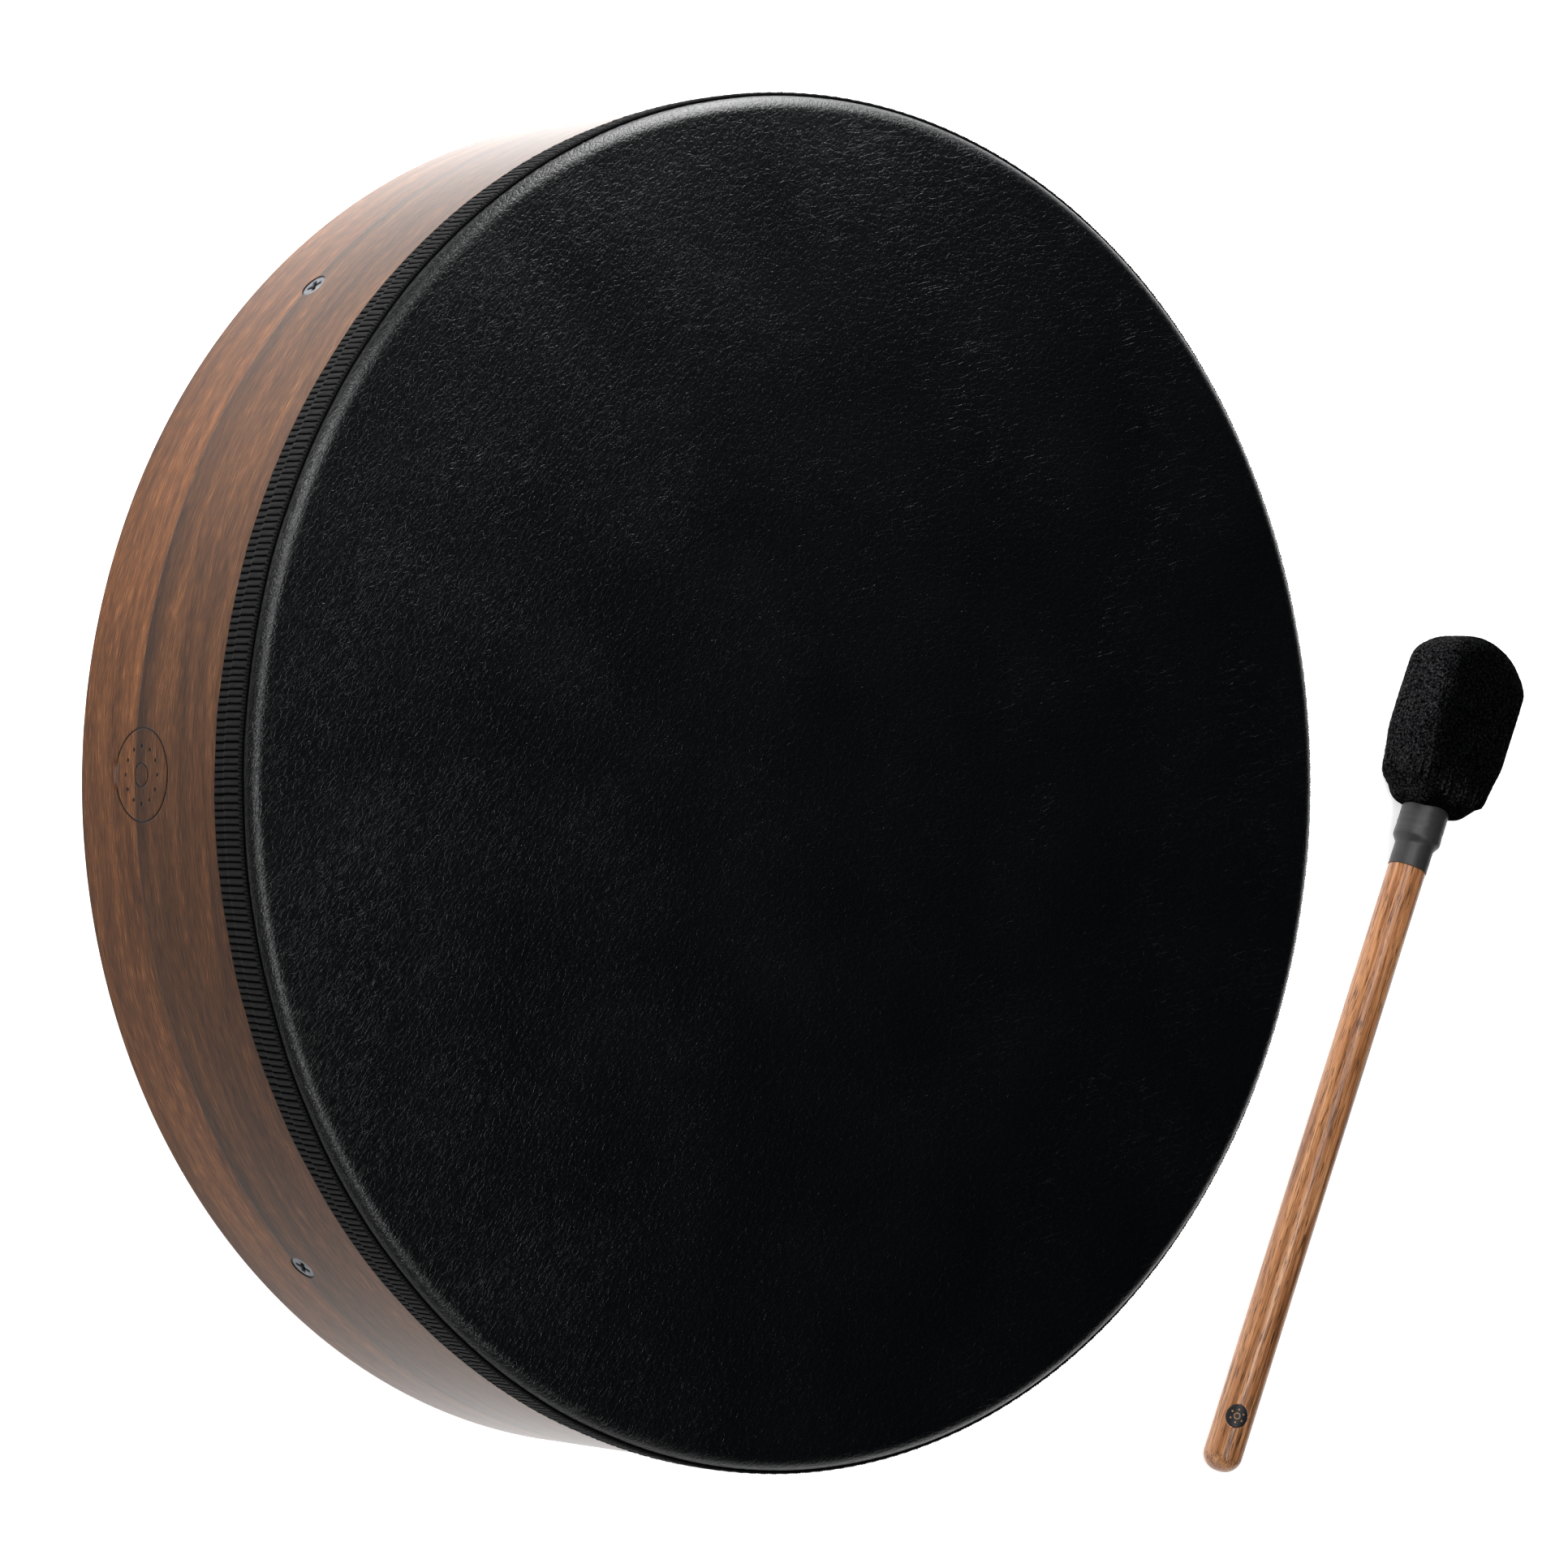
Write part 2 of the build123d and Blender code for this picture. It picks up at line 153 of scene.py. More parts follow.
def disc_points(n):
    """Points of an n x n grid squeezed evenly on to the unit disc, as radius and angle."""
    a, b = np.meshgrid(np.linspace(-1, 1, n), np.linspace(-1, 1, n))
    wide = np.abs(a) > np.abs(b)
    radius = np.where(wide, a, b)
    with np.errstate(divide="ignore", invalid="ignore"):
        angle = np.where(wide, (np.pi / 4) * b / a, np.pi / 2 - (np.pi / 4) * a / b)
    angle = np.nan_to_num(angle)
    flip = radius < 0
    return np.abs(radius), np.where(flip, angle + np.pi, angle)


def disc_border(n):
    """Indices of the outer points of an n x n grid, in order round it."""
    step = np.arange(1, n)
    return np.concatenate([[0], step, step * n + n - 1, n * n - 1 - step, (n - 1 - step[:-1]) * n])


# ---- Node helpers --------------------------------------------------------------------------------
class Shader:
    """One material and short ways to add nodes to it. Sockets and plain values both go in as inputs."""

    def __init__(self, name):
        self.material = bpy.data.materials.new(name)
        self.material.use_nodes = True
        self.tree = self.material.node_tree
        self.surface = self.tree.nodes["Principled BSDF"]
        place = self.node("TexCoord").outputs["Object"]
        self.mm = self.vector("SCALE", place, Scale=1 / MM)

    def node(self, kind, inputs=(), **settings):
        made = self.tree.nodes.new("ShaderNode" + kind)
        for key, value in settings.items():
            setattr(made, key, value)
        for key, value in dict(inputs).items():
            if isinstance(value, bpy.types.NodeSocket):
                self.tree.links.new(value, made.inputs[key])
            else:
                made.inputs[key].default_value = value
        return made

    def math(self, operation, *values):
        return self.node("Math", enumerate(values), operation=operation).outputs[0]

    def total(self, *parts):
        """The sum of (value, weight) pairs."""
        result = None
        for value, weight in parts:
            part = self.math("MULTIPLY", value, weight)
            result = part if result is None else self.math("ADD", result, part)
        return result

    def turn(self, x, y, degrees, stretch=1.0):
        """Where a point of the plane lies along and across a direction."""
        c, s = math.cos(math.radians(degrees)), math.sin(math.radians(degrees))
        return self.total((x, c / stretch), (y, s / stretch)), self.total((x, -s), (y, c))

    def over(self, length_x, x, length_y, y, z=0.0):
        """A vector of places measured in each direction's own length."""
        return self.join(self.math("DIVIDE", x, length_x), self.math("DIVIDE", y, length_y), z)

    def vector(self, operation, *values, **named):
        made = self.node("VectorMath", {**dict(enumerate(values)), **named}, operation=operation)
        return made.outputs["Value" if operation in ("LENGTH", "DISTANCE", "DOT_PRODUCT") else "Vector"]

    def split(self, vector):
        return self.node("SeparateXYZ", {0: vector}).outputs[:3]

    def join(self, x=0.0, y=0.0, z=0.0):
        return self.node("CombineXYZ", {0: x, 1: y, 2: z}).outputs[0]

    def grey(self, value):
        return self.join(value, value, value)

    def noise(self, vector, scale=1.0, detail=2.0, roughness=0.5):
        inputs = {"Vector": vector, "Scale": scale, "Detail": detail, "Roughness": roughness}
        return self.node("TexNoise", inputs).outputs["Fac"]

    def cell_edges(self, vector, scale):
        """Distance from the borders of irregular cells."""
        inputs = {"Vector": vector, "Scale": scale}
        return self.node("TexVoronoi", inputs, feature="DISTANCE_TO_EDGE").outputs["Distance"]

    def remap(self, value, low, high, to_low=0.0, to_high=1.0):
        return self.node("MapRange", {0: value, 1: low, 2: high, 3: to_low, 4: to_high}).outputs[0]

    def ramp(self, value, stops):
        made = self.node("ValToRGB", {0: value})
        line = made.color_ramp
        while len(line.elements) < len(stops):
            line.elements.new(0.5)
        for element, (position, colour) in zip(line.elements, stops):
            element.position = position
            element.color = (*colour, 1.0)
        return made.outputs[0]

    def mix(self, share, a, b, blend="MIX"):
        made = self.node("Mix", data_type="RGBA", blend_type=blend)
        for key, value in ((0, share), (6, a), (7, b)):
            if isinstance(value, bpy.types.NodeSocket):
                self.tree.links.new(value, made.inputs[key])
            else:
                made.inputs[key].default_value = (*value, 1.0) if key else value
        return made.outputs[2]

    def bump(self, height, distance, strength):
        inputs = {"Height": height, "Distance": distance, "Strength": strength}
        return self.node("Bump", inputs).outputs[0]

    def finish(self, **sockets):
        for key, value in sockets.items():
            socket = self.surface.inputs[key.replace("_", " ")]
            if isinstance(value, bpy.types.NodeSocket):
                self.tree.links.new(value, socket)
            else:
                socket.default_value = value
        return self.material


def hoop_place(sh):
    """Distance round the shell and height, in millimetres, with the start line on the mallet's side."""
    x, y, z = sh.split(sh.mm)
    angle = sh.math("ARCTAN2", sh.math("MULTIPLY", y, -1.0), sh.math("MULTIPLY", x, -1.0))
    return sh.math("MULTIPLY", angle, SHELL_R / MM), z


# ---- Materials -----------------------------------------------------------------------------------
def burns_and_seat_shade(sh, arc, z):
    """How dark the face is: burnt in the circle, the dots and the small ring inside it, and painted
    shade in the screw seats round the heads.
    """
    across = sh.math("SUBTRACT", z, ORNAMENT_Z / MM)
    along = sh.math("SUBTRACT", arc, (ORNAMENT_ANGLE - math.pi) * SHELL_R / MM)
    radius = sh.vector("LENGTH", sh.join(along, across, 0.0))
    circle = sh.math("ABSOLUTE", sh.math("SUBTRACT", radius, CIRCLE_R / MM))
    small_ring = sh.math("ABSOLUTE", sh.math("SUBTRACT", radius, SMALL_RING_R / MM))
    dot = dot_ring(sh, along, across, radius, DOTS, DOT_RING_R / MM)
    circle = sh.remap(circle, 0.18, 0.42, 1.0, 0.0)
    small_ring = sh.remap(small_ring, 0.14, 0.42, 0.9, 0.0)
    dot = sh.remap(dot, 0.5, 0.8, 0.9, 0.0)
    marks = sh.math("MAXIMUM", sh.math("MAXIMUM", circle, small_ring), dot)
    # Painted shade: the face is darkened in each screw's countersunk seat and just round its head.
    across = sh.math("SUBTRACT", z, SCREW_Z / MM)
    for angle in SCREW_ANGLES.values():
        turn = (angle - 180.0) % 360.0
        turn = turn - 360.0 if turn > 180.0 else turn
        along = sh.math("SUBTRACT", arc, math.radians(turn) * SHELL_R / MM)
        away = sh.vector("LENGTH", sh.join(along, across, 0.0))
        seat_shade = sh.remap(away, SCREW_R / MM + 0.2, SCREW_R / MM + 0.4, 1.0, 0.0)
        marks = sh.math("MAXIMUM", marks, seat_shade)
    return marks


def dot_ring(sh, x, y, radius, count, ring_radius):
    """Distance to the nearest of a ring of evenly spaced dots."""
    step = 2 * math.pi / count
    turn = sh.math("ARCTAN2", y, x)
    whole = sh.math("MULTIPLY", sh.math("ROUND", sh.math("DIVIDE", turn, step)), step)
    off = sh.math("SUBTRACT", turn, whole)
    sideways = sh.math("MULTIPLY", sh.math("SINE", off), radius)
    outwards = sh.math("SUBTRACT", sh.math("MULTIPLY", sh.math("COSINE", off), radius), ring_radius)
    return sh.vector("LENGTH", sh.join(sideways, outwards, 0.0))


def stained_veneer(name, layer, tint, seam_shade):
    """Walnut-stained ply: fine short flecks that run round the shell, under a satin lacquer."""
    sh = Shader(name)
    arc, z = hoop_place(sh)
    slow = sh.join(sh.math("MULTIPLY", arc, 0.011), sh.math("MULTIPLY", z, 0.04), layer)
    drift = sh.noise(slow, 1.0, 2)
    z_bent = sh.math("ADD", z, sh.math("MULTIPLY", sh.math("SUBTRACT", drift, 0.5), 12.0))

    def streaks(length, width, detail, seed, roughness=0.55):
        return sh.noise(sh.over(length, arc, width, z_bent, layer + seed), 1.0, detail, roughness)

    flecks = sh.remap(streaks(6.5, 0.24, 1, 0.0), 0.44, 0.7)
    fibres = sh.remap(streaks(13.0, 0.32, 2, 3.0), 0.38, 0.72)
    dark_lines = sh.remap(streaks(7.0, 0.3, 1, 7.0), 0.54, 0.72)
    cloud = sh.remap(streaks(26.0, 5.0, 3, 23.0, 0.6), 0.3, 0.7)
    bands = sh.remap(streaks(90.0, 5.5, 3, 11.0), 0.35, 0.68)
    broad = sh.remap(streaks(190.0, 30.0, 2, 15.0), 0.3, 0.7)
    pores = sh.remap(streaks(1.3, 0.45, 0, 19.0), 0.77, 0.82)
    fine_tone = sh.total((flecks, 0.32), (fibres, 0.22), (cloud, 0.09))
    tone = sh.total((fine_tone, 1.0), (bands, 0.22), (broad, 0.18), (dark_lines, -0.12))
    colour = sh.ramp(
        tone,
        [
            (0.12, (0.024, 0.008, 0.002)),
            (0.36, (0.068, 0.025, 0.0072)),
            (0.58, (0.13, 0.051, 0.0165)),
            (0.86, (0.29, 0.128, 0.046)),
        ],
    )
    near_seam = sh.math("ABSOLUTE", sh.math("SUBTRACT", z, SEAM_Z / MM))
    seam = sh.remap(near_seam, 0.0, 10.0, seam_shade, 1.0)
    colour = sh.mix(1.0, colour, tint, "MULTIPLY")
    colour = sh.mix(1.0, colour, sh.grey(seam), "MULTIPLY")
    colour = sh.mix(sh.math("MULTIPLY", pores, 0.7), colour, (0.012, 0.005, 0.003))
    # One dark colour for the burnt marks and for the painted shade of the screw seats.
    colour = sh.mix(burns_and_seat_shade(sh, arc, z), colour, (0.005, 0.0035, 0.0025))
    relief = sh.total((flecks, 0.018), (dark_lines, -0.018))
    return sh.finish(
        Base_Color=colour,
        Roughness=sh.remap(sh.math("ADD", fibres, broad), 0.3, 1.7, 0.6, 0.5),
        Normal=sh.bump(relief, 0.001, 0.6),
        Specular_IOR_Level=0.0,
        Sheen_Weight=0.45,
        Sheen_Roughness=0.22,
        Coat_Weight=1.0,
        Coat_IOR=1.15,
        Coat_Roughness=0.22,
    )


def leather():
    """Black synthetic leather: pebbled grain of about a millimetre, crossed by fine creases."""
    sh = Shader("head leather")
    x, y, z = sh.split(sh.mm)
    wobble = sh.node("TexNoise", {"Vector": sh.mm, "Scale": 0.45, "Detail": 2.0}).outputs["Color"]
    bent = sh.vector("ADD", sh.mm, sh.vector("SCALE", wobble, Scale=1.8))
    bent_x, bent_y, _ = sh.split(bent)

    def grain(angle, stretch, scale):
        along, across = sh.turn(bent_x, bent_y, angle, stretch)
        return sh.remap(sh.cell_edges(sh.join(along, across, z), scale), 0.0, 0.15)

    level_share = sh.remap(x, -110.0, 60.0)
    slanted_share = sh.math("SUBTRACT", 1.0, sh.math("MULTIPLY", level_share, 0.6))
    slanted_grain = sh.total((grain(48.0, 2.3, 0.62), 1.0), (grain(20.0, 1.6, 0.75), 0.5))
    level_grain = grain(8.0, 2.0, 0.5)
    pebble = sh.total((slanted_grain, slanted_share), (level_grain, level_share))
    small = sh.remap(sh.cell_edges(bent, 1.7), 0.0, 0.22)
    fine = sh.noise(sh.mm, 2.6, 3, 0.6)
    warp = sh.math("MULTIPLY", sh.noise(sh.mm, 0.06, 2), 6.0)

    def strokes(angle, length, width, seed, low, high):
        along, across = sh.turn(x, y, angle)
        where = sh.over(length, along, width, sh.math("ADD", across, warp), seed)
        return sh.remap(sh.noise(where, 1.0, 2, 0.6), low, high)

    west = sh.remap(x, -200.0, 40.0, 1.0, 0.12)
    east = sh.remap(x, -120.0, 140.0, 0.15, 1.0)
    patch = sh.remap(sh.noise(sh.mm, 0.022, 2), 0.36, 0.62, 0.25, 1.0)
    slanted = sh.total(
        (strokes(46.0, 6.5, 0.5, 3.0, 0.58, 0.74), west),
        (strokes(22.0, 5.0, 0.45, 5.0, 0.62, 0.78), west),
    )
    level = sh.total(
        (strokes(12.0, 13.0, 0.7, 8.0, 0.58, 0.74), east),
        (strokes(-24.0, 9.0, 0.6, 11.0, 0.63, 0.78), east),
    )
    creased = sh.math("MULTIPLY", sh.math("ADD", slanted, level), patch)
    height = sh.total((pebble, 0.052), (small, 0.018), (fine, 0.03), (creased, -0.08))
    normal = sh.bump(height, 0.001, 1.0)
    blotch = sh.noise(sh.mm, 0.02, 3)
    colour = sh.mix(blotch, (0.0003, 0.0006, 0.0010), (0.0006, 0.0010, 0.0015))
    rough = sh.remap(sh.math("ADD", fine, blotch), 0.6, 1.4, 0.27, 0.33)
    return sh.finish(Base_Color=colour, Roughness=rough, Normal=normal, Specular_IOR_Level=0.42)


def ribbon_cloth():
    """Black grosgrain: thread-level relief on ribs that the mesh has, with painted shade down between
    the ribs.
    """
    sh = Shader("ribbon cloth")
    x, y, z = sh.split(sh.mm)
    arc, _ = hoop_place(sh)
    width = sh.total((z, 1.0), (sh.vector("LENGTH", sh.join(x, y, 0.0)), -0.6))
    threads = sh.math("SINE", sh.math("MULTIPLY", width, 2 * math.pi / 0.45))
    fibres = sh.noise(sh.over(1 / 0.9, arc, 0.25, width), 1.0, 3, 0.65)
    fuzz = sh.noise(sh.mm, 4.0, 3, 0.7)
    height = sh.total((threads, 0.02), (fibres, 0.05), (fuzz, 0.05))
    # Painted shade from the mesh darkens the colour and takes the gloss away between the ribs, at the
    # step and along the edges.
    depth = sh.node("Attribute", attribute_name="painted_rib_shade").outputs["Fac"]
    colour = sh.mix(sh.remap(fibres, 0.35, 0.7), (0.0045, 0.0045, 0.0048), (0.021, 0.021, 0.0213))
    colour = sh.mix(sh.math("POWER", depth, 1.3), colour, (0.0012, 0.0012, 0.0013))
    return sh.finish(
        Base_Color=colour,
        Roughness=sh.remap(fuzz, 0.3, 0.7, 0.6, 0.8),
        Normal=sh.bump(height, 0.001, 0.8),
        Specular_IOR_Level=sh.remap(depth, 0.1, 0.8, 0.06, 0.0),
    )


def plush():
    """Short black plush where the pale tips of its pile show, painted lighter and glossier on its left
    side and darker elsewhere.
    """
    sh = Shader("plush")
    pile = sh.noise(sh.mm, 1.1, 3, 0.75)
    tips = sh.noise(sh.mm, 3.4, 2, 0.75)
    # Painted light and shade: colour and sheen are raised on the facets that face the mallet's left (+Y)
    # and lowered on the others.
    _, sideways, _ = sh.split(sh.node("TexCoord").outputs["Normal"])
    painted_side_light = sh.remap(sideways, 0.15, 0.8, 0.4, 2.4)
    speck = sh.remap(sh.total((pile, 0.6), (tips, 0.6)), 0.6, 0.78)
    colour = sh.mix(speck, (0.0002, 0.0002, 0.0003), (0.024, 0.024, 0.025))
    colour = sh.mix(1.0, colour, sh.grey(painted_side_light), "MULTIPLY")
    height = sh.total((pile, 0.5), (tips, 0.22))
    return sh.finish(
        Base_Color=colour,
        Roughness=0.8,
        Normal=sh.bump(height, 0.001, 0.9),
        Sheen_Weight=sh.math("MULTIPLY", sh.remap(speck, 0.0, 1.0, 0.004, 0.12), painted_side_light),
        Sheen_Roughness=0.35,
        Specular_IOR_Level=0.0,
    )


def handle_wood():
    """Oiled hardwood with long colour streaks and open dark pores along the handle."""
    sh = Shader("handle wood")
    x, y, z = sh.split(sh.mm)

    def along(length, width, detail, seed, roughness=0.6):
        depth = sh.math("ADD", sh.math("DIVIDE", z, width), seed)
        return sh.noise(sh.over(length, x, width, y, depth), 1.0, detail, roughness)

    bands = along(90.0, 3.2, 3, 2.0)
    fine = along(22.0, 0.7, 3, 7.0)
    pores = along(8.0, 0.36, 2, 31.0, 0.5)
    tone = sh.total((bands, 0.62), (fine, 0.38))
    colour = sh.ramp(
        tone,
        [
            (0.3, (0.075, 0.024, 0.0075)),
            (0.44, (0.26, 0.103, 0.038)),
            (0.54, (0.44, 0.195, 0.08)),
            (0.68, (0.6, 0.33, 0.165)),
        ],
    )
    pore = sh.remap(pores, 0.57, 0.63)
    colour = sh.mix(sh.math("MULTIPLY", pore, 0.85), colour, (0.03, 0.011, 0.005))
    relief = sh.total((fine, 0.3), (pore, -1.0))
    return sh.finish(
        Base_Color=colour,
        Roughness=sh.remap(fine, 0.3, 0.7, 0.46, 0.34),
        Normal=sh.bump(relief, 0.00015, 0.6),
        Specular_IOR_Level=0.2,
        Coat_Weight=0.5,
        Coat_Roughness=0.26,
    )


def plain_wood(name, dark, light, grain_axis):
    """Plain stained timber with its grain along one direction."""
    sh = Shader(name)
    direction = Vector(grain_axis).normalized()
    run = sh.vector("DOT_PRODUCT", sh.mm, tuple(direction))
    pull = sh.vector("SCALE", tuple(direction), Scale=sh.math("MULTIPLY", run, 0.95))
    pulled = sh.vector("SUBTRACT", sh.mm, pull)
    grain = sh.noise(pulled, 0.9, 4, 0.65)
    rings = sh.noise(pulled, 0.16, 2)
    tone = sh.total((grain, 0.5), (rings, 0.5))
    colour = sh.mix(sh.remap(tone, 0.35, 0.65), dark, light)
    return sh.finish(
        Base_Color=colour,
        Roughness=sh.remap(grain, 0.3, 0.7, 0.55, 0.42),
        Normal=sh.bump(grain, 0.0002, 0.6),
    )


def ply_core():
    """Bent plywood: plies show as rings on the rear edge, straight grain on the inner face."""
    sh = Shader("ply core")
    arc, z = hoop_place(sh)
    x, y, _ = sh.split(sh.mm)
    radius = sh.vector("LENGTH", sh.join(x, y, 0.0))
    plies = sh.math("FRACT", sh.math("DIVIDE", sh.math("SUBTRACT", radius, 219.6), 1.3))
    glue = sh.remap(sh.math("ABSOLUTE", sh.math("SUBTRACT", plies, 0.5)), 0.4, 0.47)
    grain = sh.noise(sh.over(11.0, arc, 0.6, z, sh.math("DIVIDE", radius, 0.5)), 1.0, 3, 0.6)
    broad = sh.noise(sh.over(90.0, arc, 8.0, z, sh.math("DIVIDE", radius, 1.3)), 1.0, 2)
    tone = sh.total((grain, 0.55), (broad, 0.45))
    colour = sh.mix(sh.remap(tone, 0.36, 0.64), (0.07, 0.032, 0.015), (0.24, 0.125, 0.062))
    edge = sh.math("MULTIPLY", glue, sh.remap(z, 0.4, 1.2, 0.75, 0.0))
    colour = sh.mix(edge, colour, (0.02, 0.01, 0.006))
    return sh.finish(
        Base_Color=colour,
        Roughness=sh.remap(grain, 0.3, 0.7, 0.6, 0.48),
        Normal=sh.bump(grain, 0.0002, 0.7),
    )


def speckled(name, dark, light, scale, roughness, metallic=0.0, relief=0.0001, **more):
    """A plain finish with fine mottling of colour, gloss and relief."""
    sh = Shader(name)
    fine = sh.noise(sh.mm, scale, 4, 0.65)
    broad = sh.noise(sh.mm, scale * 0.13, 2)
    tone = sh.total((fine, 0.5), (broad, 0.5))
    return sh.finish(
        Base_Color=sh.mix(sh.remap(tone, 0.35, 0.65), dark, light),
        Roughness=sh.remap(fine, 0.3, 0.7, roughness - 0.06, roughness + 0.06),
        Normal=sh.bump(fine, relief, 0.6),
        Metallic=metallic,
        **more,
    )


def screw_steel():
    """Black oxide worn grey on the screw's face, with painted shade making the cross recess and a ring
    round the rim black.
    """
    sh = Shader("screw steel")
    fine = sh.noise(sh.mm, 3.0, 4, 0.65)
    broad = sh.noise(sh.mm, 0.5, 2)
    # Painted shade from the mesh: black and not metallic in the recess and round the rim.
    depth = sh.node("Attribute", attribute_name="recess").outputs["Fac"]
    tone = sh.remap(sh.math("ADD", fine, broad), 0.7, 1.3)
    worn = sh.mix(tone, (0.07, 0.075, 0.085), (0.15, 0.16, 0.175))
    colour = sh.mix(sh.math("POWER", depth, 0.5), worn, (0.002, 0.002, 0.002))
    return sh.finish(
        Base_Color=colour,
        Roughness=sh.remap(fine, 0.3, 0.7, 0.34, 0.46),
        Normal=sh.bump(fine, 0.00005, 0.6),
        Metallic=sh.remap(depth, 0.0, 0.6, 0.8, 0.0),
        Specular_IOR_Level=0.1,
    )


def badge_finish():
    """Matte black disc with a plain ring and a ring of dots in the wood's colour."""
    sh = Shader("badge")
    x, y, z = sh.split(sh.mm)
    radius = sh.vector("LENGTH", sh.join(x, y, 0.0))
    ring = sh.remap(sh.math("ABSOLUTE", sh.math("SUBTRACT", radius, 1.1)), 0.12, 0.24, 1.0, 0.0)
    dots = sh.remap(dot_ring(sh, x, y, radius, 6, 2.5), 0.3, 0.44, 1.0, 0.0)
    fine = sh.noise(sh.mm, 5.0, 3)
    black = sh.mix(fine, (0.006, 0.007, 0.009), (0.014, 0.015, 0.018))
    colour = sh.mix(sh.math("MAXIMUM", ring, dots), black, (0.32, 0.17, 0.075))
    return sh.finish(
        Base_Color=colour,
        Roughness=sh.remap(fine, 0.3, 0.7, 0.4, 0.52),
        Normal=sh.bump(fine, 0.00004, 0.5),
        Specular_IOR_Level=0.3,
    )


FACE_FRONT = stained_veneer("face veneer front", 3.0, (0.86, 0.81, 0.74), 0.5)
FACE_REAR = stained_veneer("face veneer rear", 40.0, (1.13, 1.04, 0.94), 1.12)
PLY_CORE = ply_core()
LEATHER = leather()
RIBBON = ribbon_cloth()
PLUSH = plush()
HANDLE = handle_wood()
BLACK_OXIDE = speckled(
    "black oxide", (0.03, 0.031, 0.034), (0.1, 0.1, 0.105), 3.0, 0.36, metallic=0.75, relief=0.00004
)
SLEEVE = speckled(
    "shrink sleeve", (0.018, 0.018, 0.0185), (0.027, 0.027, 0.0275), 1.1, 0.42, Specular_IOR_Level=0.35
)
BADGE = badge_finish()
SCREW_STEEL = screw_steel()


# ---- Drum ----------------------------------------------------------------------------------------
def fine_angles():
    """Angles round the shell: even, with extra lines where the ornament and the screws are."""
    even = around(720)
    extra = [ORNAMENT_ANGLE + np.arange(-16.0, 16.01, 0.25) * MM / SHELL_R]
    for angle in SCREW_ANGLES.values():
        extra.append(math.radians(angle) + np.arange(-5.6, 5.61, 0.25) * MM / SHELL_R)
    extra = np.mod(np.concatenate(extra), 2 * np.pi)
    gap = np.abs((even[:, None] - extra[None, :] + np.pi) % (2 * np.pi) - np.pi).min(1)
    return np.sort(np.concatenate([even[gap > 0.0006], extra]))


def engraving(angle, z):
    """How deep the face is cut at an angle and height, by the ornament and the screw seats."""
    def away(centre):
        return ((angle - centre + np.pi) % (2 * np.pi) - np.pi) * SHELL_R

    across, along = z - ORNAMENT_Z, away(ORNAMENT_ANGLE)
    radius = np.hypot(across, along)
    depth = np.zeros_like(radius)
    for centre_line, cut in ((CIRCLE_R, 0.32 * MM), (SMALL_RING_R, 0.2 * MM)):
        off = np.abs(radius - centre_line)
        depth = np.maximum(depth, cut * (1 - smoothstep(off, 0.12 * MM, 0.42 * MM)))
    step = 2 * np.pi / DOTS
    turn = np.arctan2(across, along)
    nearest = turn - np.round(turn / step) * step
    dot = np.hypot(np.sin(nearest) * radius, np.cos(nearest) * radius - DOT_RING_R)
    depth = np.maximum(depth, 0.22 * MM * (1 - smoothstep(dot, 0.4 * MM, 0.75 * MM)))
    for screw in SCREW_ANGLES.values():
        from_screw = np.hypot(z - SCREW_Z, away(math.radians(screw)))
        depth = np.maximum(depth, np.clip(SCREW_R + 0.15 * MM - from_screw, 0, 1.05 * MM))
    return depth


def face_ply(name, node, low, high, material):
    """One strip of the face ply as a closed band, engraved outside, with slightly eased edges."""
    angles = fine_angles()
    ease, nick = 0.07 * MM, 0.02 * MM
    fine_low, fine_high = ORNAMENT_Z - 16 * MM, ORNAMENT_Z + 16 * MM
    fine_step, plain_step = 0.25 * MM, 2.0 * MM
    outer = [(SHELL_R - ease, low), (SHELL_R - nick, low + nick), (SHELL_R, low + ease)]
    top = min(high - ease, EDGE_Z)
    z = low + 0.6 * MM
    while z < top - 0.3 * MM:
        outer.append((SHELL_R, z))
        z += fine_step if fine_low < z < fine_high else plain_step
    outer.append((SHELL_R, top))
    if high > EDGE_Z:
        end = math.acos(1 - FACE_PLY / BEARING_ROUND)
        for k in range(1, 9):
            c, s = math.cos(k / 8 * end), math.sin(k / 8 * end)
            outer.append((EDGE_R + BEARING_ROUND * c, EDGE_Z + BEARING_ROUND * s))
    else:
        outer += [(SHELL_R - nick, high - nick), (SHELL_R - ease, high)]
    inner_r = SHELL_R - FACE_PLY
    inner = [(inner_r, outer[-1][1] - k / 6 * (outer[-1][1] - low)) for k in range(7)]
    inner = inner[1:] if high > EDGE_Z else inner
    profile = np.array(outer + inner)
    points = turned(profile, angles)
    depth = engraving(angles[None, :], profile[:, 1][:, None])
    depth[len(outer):] = 0
    points[..., 0] -= depth * np.cos(angles)[None, :]
    points[..., 1] -= depth * np.sin(angles)[None, :]
    faces = quads(*points.shape[:2], wrap_rows=True)
    return mesh_piece(name, points, faces, "drum", "walnut_face", material, node)


